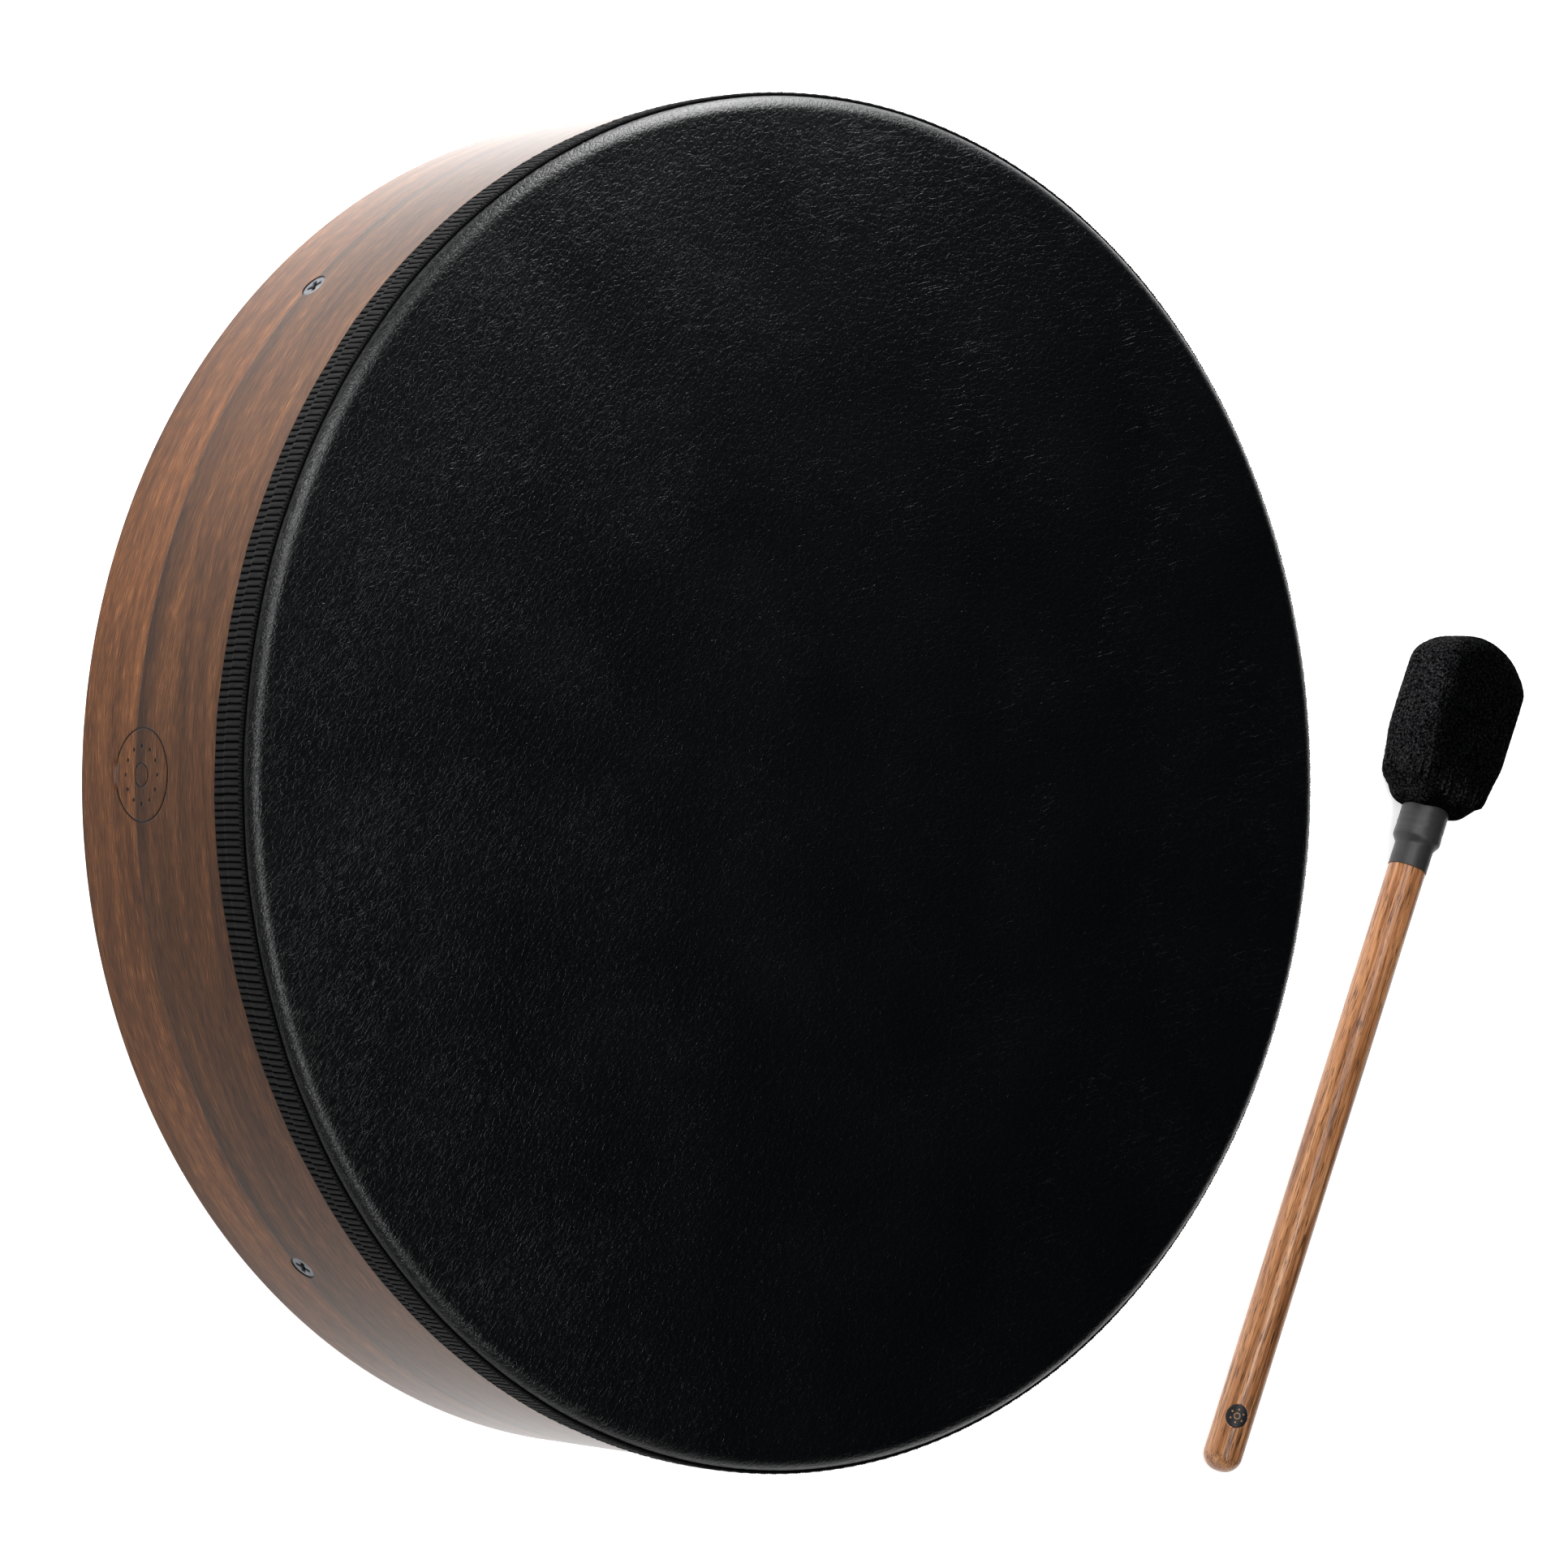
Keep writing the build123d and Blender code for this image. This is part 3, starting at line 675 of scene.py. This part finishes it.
def creases(x, y):
    """Depth of the leather's creases: short slanting ones on the left, long level ones on the right."""
    count, reach = 420, 0.205
    rng = np.random.default_rng(7)
    depth = np.zeros_like(x)
    for k in range(count):
        where = math.sqrt(rng.uniform(0, 1)) * reach
        turn = rng.uniform(0, 2 * np.pi)
        cx, cy = where * math.cos(turn), where * math.sin(turn)
        rightness = smoothstep(np.array(cx), -0.10, 0.12)
        slant = math.radians((1 - rightness) * rng.normal(50, 22) + rightness * rng.normal(10, 20))
        half = (rng.uniform(5, 13) * (1 - rightness) + rng.uniform(9, 26) * rightness) * MM
        bend = rng.normal(0, 7)
        width = rng.uniform(0.45, 1.0) * MM
        size = rng.uniform(0.02, 0.075) * MM
        near = np.abs(x - cx) + np.abs(y - cy) < 1.6 * half + 4 * MM
        dx, dy = x[near] - cx, y[near] - cy
        along = dx * math.cos(slant) + dy * math.sin(slant)
        across = -dx * math.sin(slant) + dy * math.cos(slant)
        across = across - bend * along**2 - 0.6 * MM * np.sin(along / (3.4 * MM) + k)
        fade = np.clip(1 - (along / half) ** 2, 0, 1)
        valley = np.exp(-((across / width) ** 2)) - 0.45 * np.exp(-((across / (2.2 * width)) ** 2))
        depth[near] += size * fade * valley
    return depth


def head():
    """The leather: an even grid over the flat, the rounded edge and the skirt, with creases."""
    n = 420
    share, angle = disc_points(n)
    outer_round = BEARING_ROUND + HEAD_THICK
    arc = outer_round * math.pi / 2
    skirt = EDGE_Z - SKIRT_Z
    reach = share * (EDGE_R + arc + skirt)
    bend = np.clip((reach - EDGE_R) / outer_round, 0, math.pi / 2)
    down = np.clip(reach - EDGE_R - arc, 0, None)
    radius = np.minimum(reach, EDGE_R) + outer_round * np.sin(bend)
    height = EDGE_Z + outer_round * np.cos(bend) - down
    x, y = radius * np.cos(angle), radius * np.sin(angle)
    flat = 1 - smoothstep(reach, EDGE_R - 4 * MM, EDGE_R + 3 * MM)
    height = height - np.clip(creases(x, y), -0.02 * MM, None) * flat
    points = np.stack([x, y, height], -1)
    faces = quads(n, n, wrap_cols=False)
    piece = mesh_piece("leather_head", points, faces, "drum", "head_leather", LEATHER, "drum_head")
    thick = piece.modifiers.new("thickness", "SOLIDIFY")
    thick.thickness = HEAD_THICK * 0.96
    thick.offset = -1
    return piece


def ribbon():
    """Grosgrain ribbon with its ribs and selvedges, stepping up where it climbs on to the skirt."""
    ribs = 616
    points_per_rib = 8
    cols = ribs * points_per_rib
    angle = around(cols)
    rows = 26
    end_angle = math.radians(25.0)
    share = np.linspace(0, 1, rows)
    low_r, high_r = SHELL_R + 0.6 * MM, SHELL_R + HEAD_THICK + 0.5 * MM
    wall = EDGE_Z - RIBBON_REAR_Z
    ribbon_round = high_r - EDGE_R
    width = wall + ribbon_round * end_angle

    s = share[:, None] * width + 0 * angle[None, :]
    edge_wander = 0.28 * MM * wavy(angle, 3, (9, 17, 31, 52)) + 0.09 * MM * np.cos(ribs * angle)
    front_wander = 0.22 * MM * wavy(angle, 11, (6, 14, 27, 44))
    s = s + edge_wander[None, :] * (1 - share[:, None]) ** 2
    s = s + front_wander[None, :] * share[:, None] ** 2
    step = smoothstep(s, SKIRT_Z - RIBBON_REAR_Z - 0.8 * MM, SKIRT_Z - RIBBON_REAR_Z + 0.9 * MM)
    base = low_r + (high_r - low_r) * step - 0.25 * MM * smoothstep(share, 0.94, 1.0)[:, None]
    bend = np.clip((s - wall) / ribbon_round, 0, None)

    # The ribs lean a little and shift where the ribbon climbs on to the skirt.
    drift = 0.6 * wavy(angle, 21, (5, 11, 19, 37))[None, :] * share[:, None] + 0.12 * step
    drift = drift + 0.7 * wavy(angle, 5, (61, 103, 173, 251))[None, :]
    drift = drift + 0.22 * smoothstep(share, 0.33, 0.37)[:, None]
    drift = drift - 0.2 * smoothstep(share, 0.62, 0.66)[:, None]
    phase = ribs * angle[None, :] + drift
    rib = np.abs(np.cos(phase / 2)) ** 0.9
    selvedge = smoothstep(share, 0.88, 0.92)[:, None]
    knob = 0.5 + 0.5 * np.cos(2 * phase + 1.3)
    lift = (0.3 - 0.05 * step) * MM * rib * (1 - selvedge) + selvedge * (0.15 + 0.3 * knob) * MM
    lift = lift + 0.06 * MM * np.sin(301 * angle + share[:, None] * 7)
    ends = smoothstep(share, 0.0, 0.05)[:, None] * smoothstep(1 - share, 0.0, 0.03)[:, None]
    lift = lift * (0.35 + 0.65 * ends)
    # Painted shade: dark in the gaps between ribs and between the selvedge's knobs, along the crease of
    # the step on to the skirt, and at both edges.
    between = np.clip(1.4 * (1 - rib) ** 1.15 * (1 - selvedge) + 0.85 * (1 - knob) * selvedge, 0, 1)
    crossing = np.exp(-(((s - (SKIRT_Z - RIBBON_REAR_Z)) / (0.45 * MM)) ** 2))
    between = np.maximum(between, 0.45 * crossing)
    borders = smoothstep(share, 0.0, 0.03) * smoothstep(1 - share, 0.0, 0.035)
    between = np.maximum(between, 1 - borders[:, None])

    out = base + lift
    radius = np.where(bend > 0, EDGE_R + (out - EDGE_R) * np.cos(bend), out)
    height = np.where(bend > 0, EDGE_Z + (out - EDGE_R) * np.sin(bend), RIBBON_REAR_Z + s)
    c, si = np.cos(angle)[None, :], np.sin(angle)[None, :]
    outer = np.stack([radius * c, radius * si, height], -1)

    skin = np.where(step > 0.5, SHELL_R + HEAD_THICK, SHELL_R) + 0.03 * MM
    under_r = np.where(bend > 0, EDGE_R + (skin - EDGE_R) * np.cos(bend), skin)
    under_h = np.where(bend > 0, EDGE_Z + (skin - EDGE_R) * np.sin(bend), RIBBON_REAR_Z + s)
    inner = np.stack([under_r * c, under_r * si, under_h], -1)
    points = np.concatenate([outer, inner[::-3]], 0)
    faces = quads(*points.shape[:2], wrap_rows=True)
    piece = mesh_piece("ribbed_ribbon", points, faces, "drum", "ribbon_black", RIBBON, "rim_ribbon")
    # The ribbon's back is painted fully in shade.
    dark_back = np.ones((len(points) - rows, cols))
    paint(piece, "painted_rib_shade", np.concatenate([between, dark_back]))
    return piece


def screw(name, turn):
    """A countersunk wood screw with an eased rim and a cross recess, its head's face at x = 0."""
    n = 61
    share, angle = disc_points(n)
    radius = share * SCREW_R
    x, y = radius * np.cos(angle), radius * np.sin(angle)
    long_arm, slot, recess = 3.0 * MM, 0.62 * MM, 1.7 * MM

    def arm(a, b):
        across = 1 - smoothstep(np.abs(b), slot * 0.75, slot * 1.35)
        return across * (1 - smoothstep(np.abs(a), long_arm * 0.6, long_arm))

    cross = np.maximum(arm(x, y), arm(y, x))
    well = 1 - smoothstep(radius, 0.7 * MM, 1.5 * MM)
    sink = recess * np.maximum(cross, well * 0.9)
    rim = 0.16 * MM * smoothstep(radius, SCREW_R - 0.45 * MM, SCREW_R)
    height = -sink - rim
    top = np.stack([height, x, y], -1).reshape(-1, 3)
    faces = [quads(n, n, wrap_cols=False)]
    border = disc_border(n)
    ring = top[border]
    turn_at = np.arctan2(ring[:, 2], ring[:, 1])
    shank_r, thread_r, tip_r = 2.25 * MM, 1.6 * MM, 0.05 * MM
    profile = [
        (SCREW_R, -0.45 * MM),
        (shank_r, -2.65 * MM),
        (shank_r, -11.0 * MM),
        (thread_r, -11.8 * MM),
        (thread_r, -28.8 * MM),
        (tip_r, -32.0 * MM),
    ]
    points = [top]
    count = len(top)
    previous = border
    for r, depth in profile:
        loop = np.stack([np.full(len(ring), depth), r * np.cos(turn_at), r * np.sin(turn_at)], -1)
        index = count + np.arange(len(ring))
        faces.append(np.stack([previous, index, np.roll(index, -1), np.roll(previous, -1)], -1))
        points.append(loop)
        previous, count = index, count + len(ring)
    points = np.concatenate(points)
    place = (
        Matrix.Rotation(math.radians(SCREW_ANGLES[name]), 4, "Z")
        @ Matrix.Translation((SHELL_R - 0.25 * MM, 0, SCREW_Z))
        @ Matrix.Rotation(math.radians(turn), 4, "X")
    )
    looks = ("drum", "screw_black", SCREW_STEEL)
    faces = np.concatenate(faces)
    piece = mesh_piece(name + "_detailed", points, faces, *looks, name, place=place)
    # Painted shade on the head's face: dark in the cross recess and round the rim, and all dark below
    # it.
    dark = np.ones(len(points))
    dark[: n * n] = np.clip(1.6 * sink / recess, 0, 1).ravel() + 0.85 * (rim > 0.09 * MM).ravel()
    paint(piece, "recess", np.clip(dark, 0, 1))
    return piece


# ---- Mallet --------------------------------------------------------------------------------------
def node_tree(name):
    """A search tree of a CAD node's surface, in the mallet's own frame."""
    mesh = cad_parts[name].data
    points = [LAID.inverted() @ v.co for v in mesh.vertices]
    return BVHTree.FromPolygons(points, [tuple(p.vertices) for p in mesh.polygons])


def cover_rings(rows, cols):
    """Rings of points over the outside of the cover, from inside the sleeve to the far end."""
    tree = node_tree("mallet_cover")
    centre = Vector(((HEAD_START + HEAD_END) / 2, 0, 0))
    half = ((HEAD_END - HEAD_START) / 2, HEAD_W / 2, HEAD_D / 2)
    neck_r = 8.4 * MM
    neck = turned([(neck_r, x * MM) for x in (257, 260, 263.5)], around(cols), "X")
    rings = neck.tolist()
    for u in np.linspace(0.66, math.pi - 0.02, rows):
        ring = []
        for v in around(cols):
            ball = (-math.cos(u), math.sin(u) * math.cos(v), math.sin(u) * math.sin(v))
            out = Vector([size * share for size, share in zip(half, ball)])
            ring.append(tuple(tree.ray_cast(centre + 3 * out, -out)[0]))
        rings.append(ring)
    return np.array(rings)


def stuff(piece, pinned, most):
    """Inflate the cover over its stuffing; no point moves further than the distance given."""
    start = np.array([v.co for v in piece.data.vertices])
    group = piece.vertex_groups.new(name="tied")
    group.add(list(range(pinned)), 1.0, "REPLACE")
    cloth = piece.modifiers.new("stuffing", "CLOTH")
    settings = cloth.settings
    settings.quality = 8
    settings.mass = 0.15
    settings.tension_stiffness = settings.compression_stiffness = 25
    settings.shear_stiffness = 12
    settings.bending_stiffness = 2
    settings.use_pressure = True
    settings.uniform_pressure_force = 4.0
    settings.vertex_group_mass = "tied"
    settings.effector_weights.gravity = 0
    cloth.collision_settings.use_collision = False
    for frame_number in range(1, 21):
        bpy.context.scene.frame_set(frame_number)
    shape = piece.evaluated_get(bpy.context.evaluated_depsgraph_get()).to_mesh()
    moved = np.array([v.co for v in shape.vertices]) - start
    piece.modifiers.remove(cloth)
    bpy.context.scene.frame_set(1)
    length = np.linalg.norm(moved, axis=1, keepdims=True)
    moved *= np.minimum(1.0, most / np.maximum(length, 1e-9))
    piece.data.vertices.foreach_set("co", (start + moved).ravel())


def plush_head():
    """The stuffed cover: puffed out, gathered in pleats at the neck, with a clumped pile."""
    rings = cover_rings(64, 112)
    points = rings.reshape(-1, 3)
    faces = quads(*rings.shape[:2]).tolist()
    tip = len(points)
    last = tip - rings.shape[1]
    points = np.concatenate([points, [points[last:].mean(0) + (0.1 * MM, 0, 0)]])
    faces += [(last + k, last + (k + 1) % rings.shape[1], tip) for k in range(rings.shape[1])]
    mesh = bpy.data.meshes.new("plush_head")
    mesh.from_pydata(points.tolist(), [], faces)
    piece = bpy.data.objects.new("plush_head", mesh)
    bpy.context.scene.collection.objects.link(piece)
    tied_rings = 5
    stuff(piece, tied_rings * rings.shape[1], 1.2 * MM)
    smooth = piece.modifiers.new("smooth", "SUBSURF")
    smooth.levels = smooth.render_levels = 2
    fine = bpy.data.meshes.new_from_object(piece.evaluated_get(bpy.context.evaluated_depsgraph_get()))
    piece.modifiers.remove(smooth)
    piece.data = fine

    co = np.empty(len(fine.vertices) * 3)
    normal = np.empty_like(co)
    fine.vertices.foreach_get("co", co)
    fine.vertices.foreach_get("normal", normal)
    co, normal = co.reshape(-1, 3), normal.reshape(-1, 3)
    azimuth = np.arctan2(co[:, 2], co[:, 1])
    near_neck = 1 - smoothstep(co[:, 0], 271 * MM, 288 * MM)
    near_neck *= smoothstep(co[:, 0], 264 * MM, 267.5 * MM)
    fold = np.cos(19 * azimuth + 1.3 * np.sin(3 * azimuth))
    fold += 0.6 * np.cos(31 * azimuth + 2 * np.sin(2 * azimuth + 1))
    height = near_neck * (0.95 * MM * (1 - np.abs(fold)) - 0.1 * MM)
    clumps = [noise.noise(Vector(p) * 700) + 0.6 * noise.noise(Vector(p) * 1700) for p in co.tolist()]
    height += 0.16 * MM * np.array(clumps) * smoothstep(co[:, 0], 266 * MM, 268 * MM)
    co = co + normal * height[:, None]
    mouth = 8.5 * MM + 1.6 * np.clip(co[:, 0] - 268.6 * MM, 0, None)
    squeeze = np.minimum(1, mouth / np.maximum(np.hypot(co[:, 1], co[:, 2]), 1e-6))
    co[:, 1:] *= squeeze[:, None]

    # It clears the stuffing inside and lies flat where it touches the floor.
    tree = node_tree("mallet_padding")
    clearance, floor_gap = 0.7 * MM, 0.25 * MM
    for index in np.nonzero(co[:, 0] > 267.5 * MM)[0]:
        spot, face_normal, _, _ = tree.find_nearest(co[index])
        gap = (Vector(co[index]) - spot).dot(face_normal)
        if gap < clearance:
            co[index] += np.array(face_normal) * (clearance - gap)
    turn = np.array(LAID.to_3x3())
    laid = co @ turn.T + np.array(LAID.translation)
    low = np.clip(floor_gap - laid[:, 2], 0, None)
    co = co + low[:, None] * turn[2][None, :]
    fine.vertices.foreach_set("co", co.ravel())
    fine.polygons.foreach_set("use_smooth", np.ones(len(fine.polygons), bool))
    fine.update()
    fine.materials.append(PLUSH)
    piece.matrix_world = LAID
    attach(piece, "mallet")
    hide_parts("mallet_cover")
    return piece


def handle():
    """The turned handle: a bullnose butt, a pocket for the badge, and the tenon in the head."""
    rows = [(0.02 * MM, 0.0)]
    for a in np.linspace(0.12, math.pi / 2, 16):
        rows.append((HANDLE_R - BUTT_ROUND + BUTT_ROUND * math.sin(a), BUTT_ROUND * (1 - math.cos(a))))
    for first, last, step in ((7.5, 15.5, 1.0), (15.5, 26.2, 0.28), (27, 243.5, 1.6)):
        rows += [(HANDLE_R, x * MM) for x in np.arange(first, last, step)]
    under_r, tenon_r = 7.1 * MM, 5.0 * MM
    rows += [(HANDLE_R, SLEEVE_START), (under_r, SLEEVE_START + 0.2 * MM), (under_r, TENON_START)]
    rows += [(tenon_r, TENON_START + 0.2 * MM), (tenon_r, TENON_END - 0.3 * MM), (0.02 * MM, TENON_END)]
    angles = around(168)
    points = turned(rows, angles, "X")
    off = (angles - BADGE_ANGLE + np.pi) % (2 * np.pi) - np.pi
    from_badge = np.hypot(points[..., 0] - BADGE_X, off[None, :] * HANDLE_R)
    pocket = np.where(from_badge < BADGE_R + 0.12 * MM, 0.4 * MM, 0.0)
    wear = 0.05 * MM * np.sin(points[..., 0] / (23 * MM) + 1) * np.cos(angles)[None, :]
    shrink = 1 - (pocket + np.where(points[..., 0] < SLEEVE_START - MM, wear, 0)) / HANDLE_R
    points[..., 1:] *= shrink[..., None]
    faces = quads(*points.shape[:2])
    looks = ("mallet", "handle_wood", HANDLE)
    return mesh_piece("turned_handle", points, faces, *looks, "mallet_handle", place=LAID)


def badge():
    """The inlaid disc, following the handle's roundness, with an eased rim."""
    share, angle = disc_points(41)
    radius = share * BADGE_R
    along, over = radius * np.cos(angle), radius * np.sin(angle) / HANDLE_R
    level = HANDLE_R + 0.04 * MM - 0.12 * MM * smoothstep(share, 0.93, 1.0)
    top = np.stack([along, level * np.sin(over), level * np.cos(over)], -1)
    low = HANDLE_R - 0.36 * MM
    under = np.stack([along, low * np.sin(over), low * np.cos(over)], -1)
    n = len(share)
    border = disc_border(n)
    after = np.roll(border, -1)
    wall = np.stack([border, border + n * n, after + n * n, after], -1)
    grid = quads(n, n, wrap_cols=False)
    faces = np.concatenate([grid, grid[:, ::-1] + n * n, wall])
    turned_up = Matrix.Rotation(math.radians(-BADGE_TURN), 4, "X")
    place = LAID @ Matrix.Translation((BADGE_X, 0, 0)) @ turned_up
    points = np.concatenate([top.reshape(-1, 3), under.reshape(-1, 3)])
    looks = ("mallet", "badge_black", BADGE)
    return mesh_piece("inlaid_badge", points, faces, *looks, "handle_badge", place=place)


def sleeve():
    """The shrink-fitted sleeve, stepping up over the binding, slightly ringed where it shrank."""
    x = np.linspace(SLEEVE_START, SLEEVE_END + 1.2 * MM, 120)
    k = x / MM
    over_handle, rise, ridge = 7.6, 1.62, 0.12
    outer = over_handle + rise * smoothstep(k, 252.2, 255.6)
    outer = outer + ridge * np.exp(-(((k - 256.2) / 1.3) ** 2))
    outer = outer + 0.03 * np.sin(k * 2.1) * smoothstep(k, 256.5, 258) + 0.02 * np.sin(k * 1.3)
    outer *= MM
    thick = 0.42 * MM
    start = (outer[0] - 0.2 * MM, x[0])
    end = (outer[-1] - 0.1 * MM, x[-1] + 0.1 * MM)
    outside = [start, *zip(outer, x + 0.05 * MM), end]
    inside = list(zip(outer[::-5] - thick, x[::-5]))
    points = turned(outside + inside, around(128), "X")
    faces = quads(*points.shape[:2], wrap_rows=True)
    looks = ("mallet", "sleeve_rubber", SLEEVE)
    return mesh_piece("shrink_sleeve", points, faces, *looks, "mallet_sleeve", place=LAID)


face_ply("face_strip_rear", "face_ply_rear", 0.0, SEAM_Z, FACE_REAR)
face_ply("face_strip_front", "face_ply_front", SEAM_Z, SHELL_TOP, FACE_FRONT)
head()
ribbon()
for name, turn in zip(SCREW_ANGLES, (38, 12, 52, 75)):
    screw(name, turn)
plush_head()
handle()
badge()
sleeve()

# ---- CAD nodes that are shown as they are --------------------------------------------------------
BAR_LOWER_DARK, BAR_LOWER_PALE = (0.045, 0.02, 0.009), (0.16, 0.075, 0.034)
BAR_UPPER_DARK, BAR_UPPER_PALE = (0.05, 0.022, 0.01), (0.17, 0.08, 0.037)
PLAIN = {
    "shell_core": PLY_CORE,
    "crossbar_lower": plain_wood("bar wood lower", BAR_LOWER_DARK, BAR_LOWER_PALE, (-1, 1, 0)),
    "crossbar_upper": plain_wood("bar wood upper", BAR_UPPER_DARK, BAR_UPPER_PALE, (1, 0.946, 0)),
    "head_staples": speckled(
        "staple wire", (0.35, 0.35, 0.35), (0.6, 0.6, 0.6), 2.0, 0.35, metallic=1.0, relief=0.00005
    ),
    "lap_screw": BLACK_OXIDE,
    "mallet_core": plain_wood("core wood", (0.3, 0.19, 0.1), (0.55, 0.4, 0.25), (0.39, 0.92, 0.02)),
    "mallet_padding": speckled("felt", (0.2, 0.2, 0.19), (0.42, 0.42, 0.4), 0.9, 0.9, relief=0.0006),
    "neck_binding": speckled(
        "thread", (0.01, 0.01, 0.01), (0.04, 0.04, 0.04), 2.5, 0.7, relief=0.0003
    ),
}
for node_name, material in PLAIN.items():
    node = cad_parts[node_name]
    node.data.materials.clear()
    node.data.materials.append(material)


# ---- Floor, lights, camera -----------------------------------------------------------------------
def floor():
    """A plain white ground, a little self-lit so that the shadows on it stay faint."""
    mesh = bpy.data.meshes.new("floor")
    half = 30.0
    corners = [(-half, -half, 0), (half, -half, 0), (half, half, 0), (-half, half, 0)]
    mesh.from_pydata(corners, [], [(0, 1, 2, 3)])
    plane = bpy.data.objects.new("floor", mesh)
    bpy.context.scene.collection.objects.link(plane)
    sh = Shader("floor")
    material = sh.finish(
        Base_Color=(0.88, 0.88, 0.88, 1.0),
        Roughness=0.7,
        Specular_IOR_Level=0.1,
        Emission_Color=(1.0, 1.0, 1.0, 1.0),
        Emission_Strength=0.7,
    )
    mesh.materials.append(material)


def area_light(name, place, target, along, width, length, power, spread=180.0):
    """A softbox that faces a point, its length lying along a direction."""
    data = bpy.data.lights.new(name, "AREA")
    data.shape = "RECTANGLE"
    data.size, data.size_y = width, length
    data.energy = power
    data.spread = math.radians(spread)
    lamp = bpy.data.objects.new(name, data)
    back = (Vector(place) - Vector(target)).normalized()
    side = Vector(along).cross(back).normalized()
    lamp.matrix_world = Matrix((side, back.cross(side), back)).transposed().to_4x4()
    lamp.location = place
    lamp.visible_camera = False
    bpy.context.scene.collection.objects.link(lamp)


def surroundings():
    """A studio pale at the horizon and dimmer above, with one dark screen that the flat head mirrors."""
    world = bpy.data.worlds.new("studio")
    bpy.context.scene.world = world
    world.use_nodes = True
    tree = world.node_tree
    screen_middle = Vector((0.66, 0.0, 0.75)).normalized()

    def fade(value, low, high, to_low, to_high):
        made = tree.nodes.new("ShaderNodeMapRange")
        made.interpolation_type = "SMOOTHSTEP"
        tree.links.new(value, made.inputs[0])
        for key, number in enumerate((low, high, to_low, to_high), 1):
            made.inputs[key].default_value = number
        return made.outputs[0]

    direction = tree.nodes.new("ShaderNodeTexCoord").outputs["Generated"]
    towards = tree.nodes.new("ShaderNodeVectorMath")
    towards.operation = "DOT_PRODUCT"
    tree.links.new(direction, towards.inputs[0])
    towards.inputs[1].default_value = screen_middle
    split = tree.nodes.new("ShaderNodeSeparateXYZ")
    tree.links.new(direction, split.inputs[0])
    both = tree.nodes.new("ShaderNodeMath")
    both.operation = "MULTIPLY"
    screen_edge, screen_core = math.cos(math.radians(62)), math.cos(math.radians(38))
    screen = fade(towards.outputs["Value"], screen_edge, screen_core, 1.0, 0.02)
    tree.links.new(screen, both.inputs[0])
    tree.links.new(fade(split.outputs[2], 0.09, 0.2, 0.9, 0.15), both.inputs[1])
    background = tree.nodes["Background"]
    background.inputs[0].default_value = (1.0, 1.0, 1.0, 1.0)
    tree.links.new(both.outputs[0], background.inputs[1])


def camera():
    """The view from in front and to the left of the head, with the drum's y axis upright."""
    data = bpy.data.cameras.new("camera")
    data.lens = 133.71
    data.sensor_width = 36.0
    data.clip_end = 100.0
    view = bpy.data.objects.new("camera", data)
    right = Vector((0.77640, 0.0, 0.63024)).normalized()
    up = Vector((0.0, 1.0, -0.0022)).normalized()
    back = right.cross(up).normalized()
    view.matrix_world = Matrix((right, back.cross(right), back)).transposed().to_4x4()
    view.location = (-1.2344, 0.00305, 1.5977)
    bpy.context.scene.collection.objects.link(view)
    bpy.context.scene.camera = view


floor()
surroundings()
camera()
area_light("overhead", (-0.45, 0.0, 1.7), (-0.1, 0, 0), (0, 1, 0), 0.26, 2.6, 26)
area_light("key side", (0.15, 0.62, 0.25), (-0.15, 0.2, 0), (1, 0, 0), 0.5, 0.3, 6.5)
area_light("kicker", (-0.42, 0.3, 0.3), (-0.29, 0.2, 0), (1, 0, 0), 0.2, 0.2, 0.36, 50.0)
area_light("accent", (-0.3, 0.28, 0.45), (0.375, -0.04, 0.015), (0, 1, 0), 0.25, 0.25, 0.085, 30.0)

bpy.context.scene.view_settings.view_transform = "Standard"
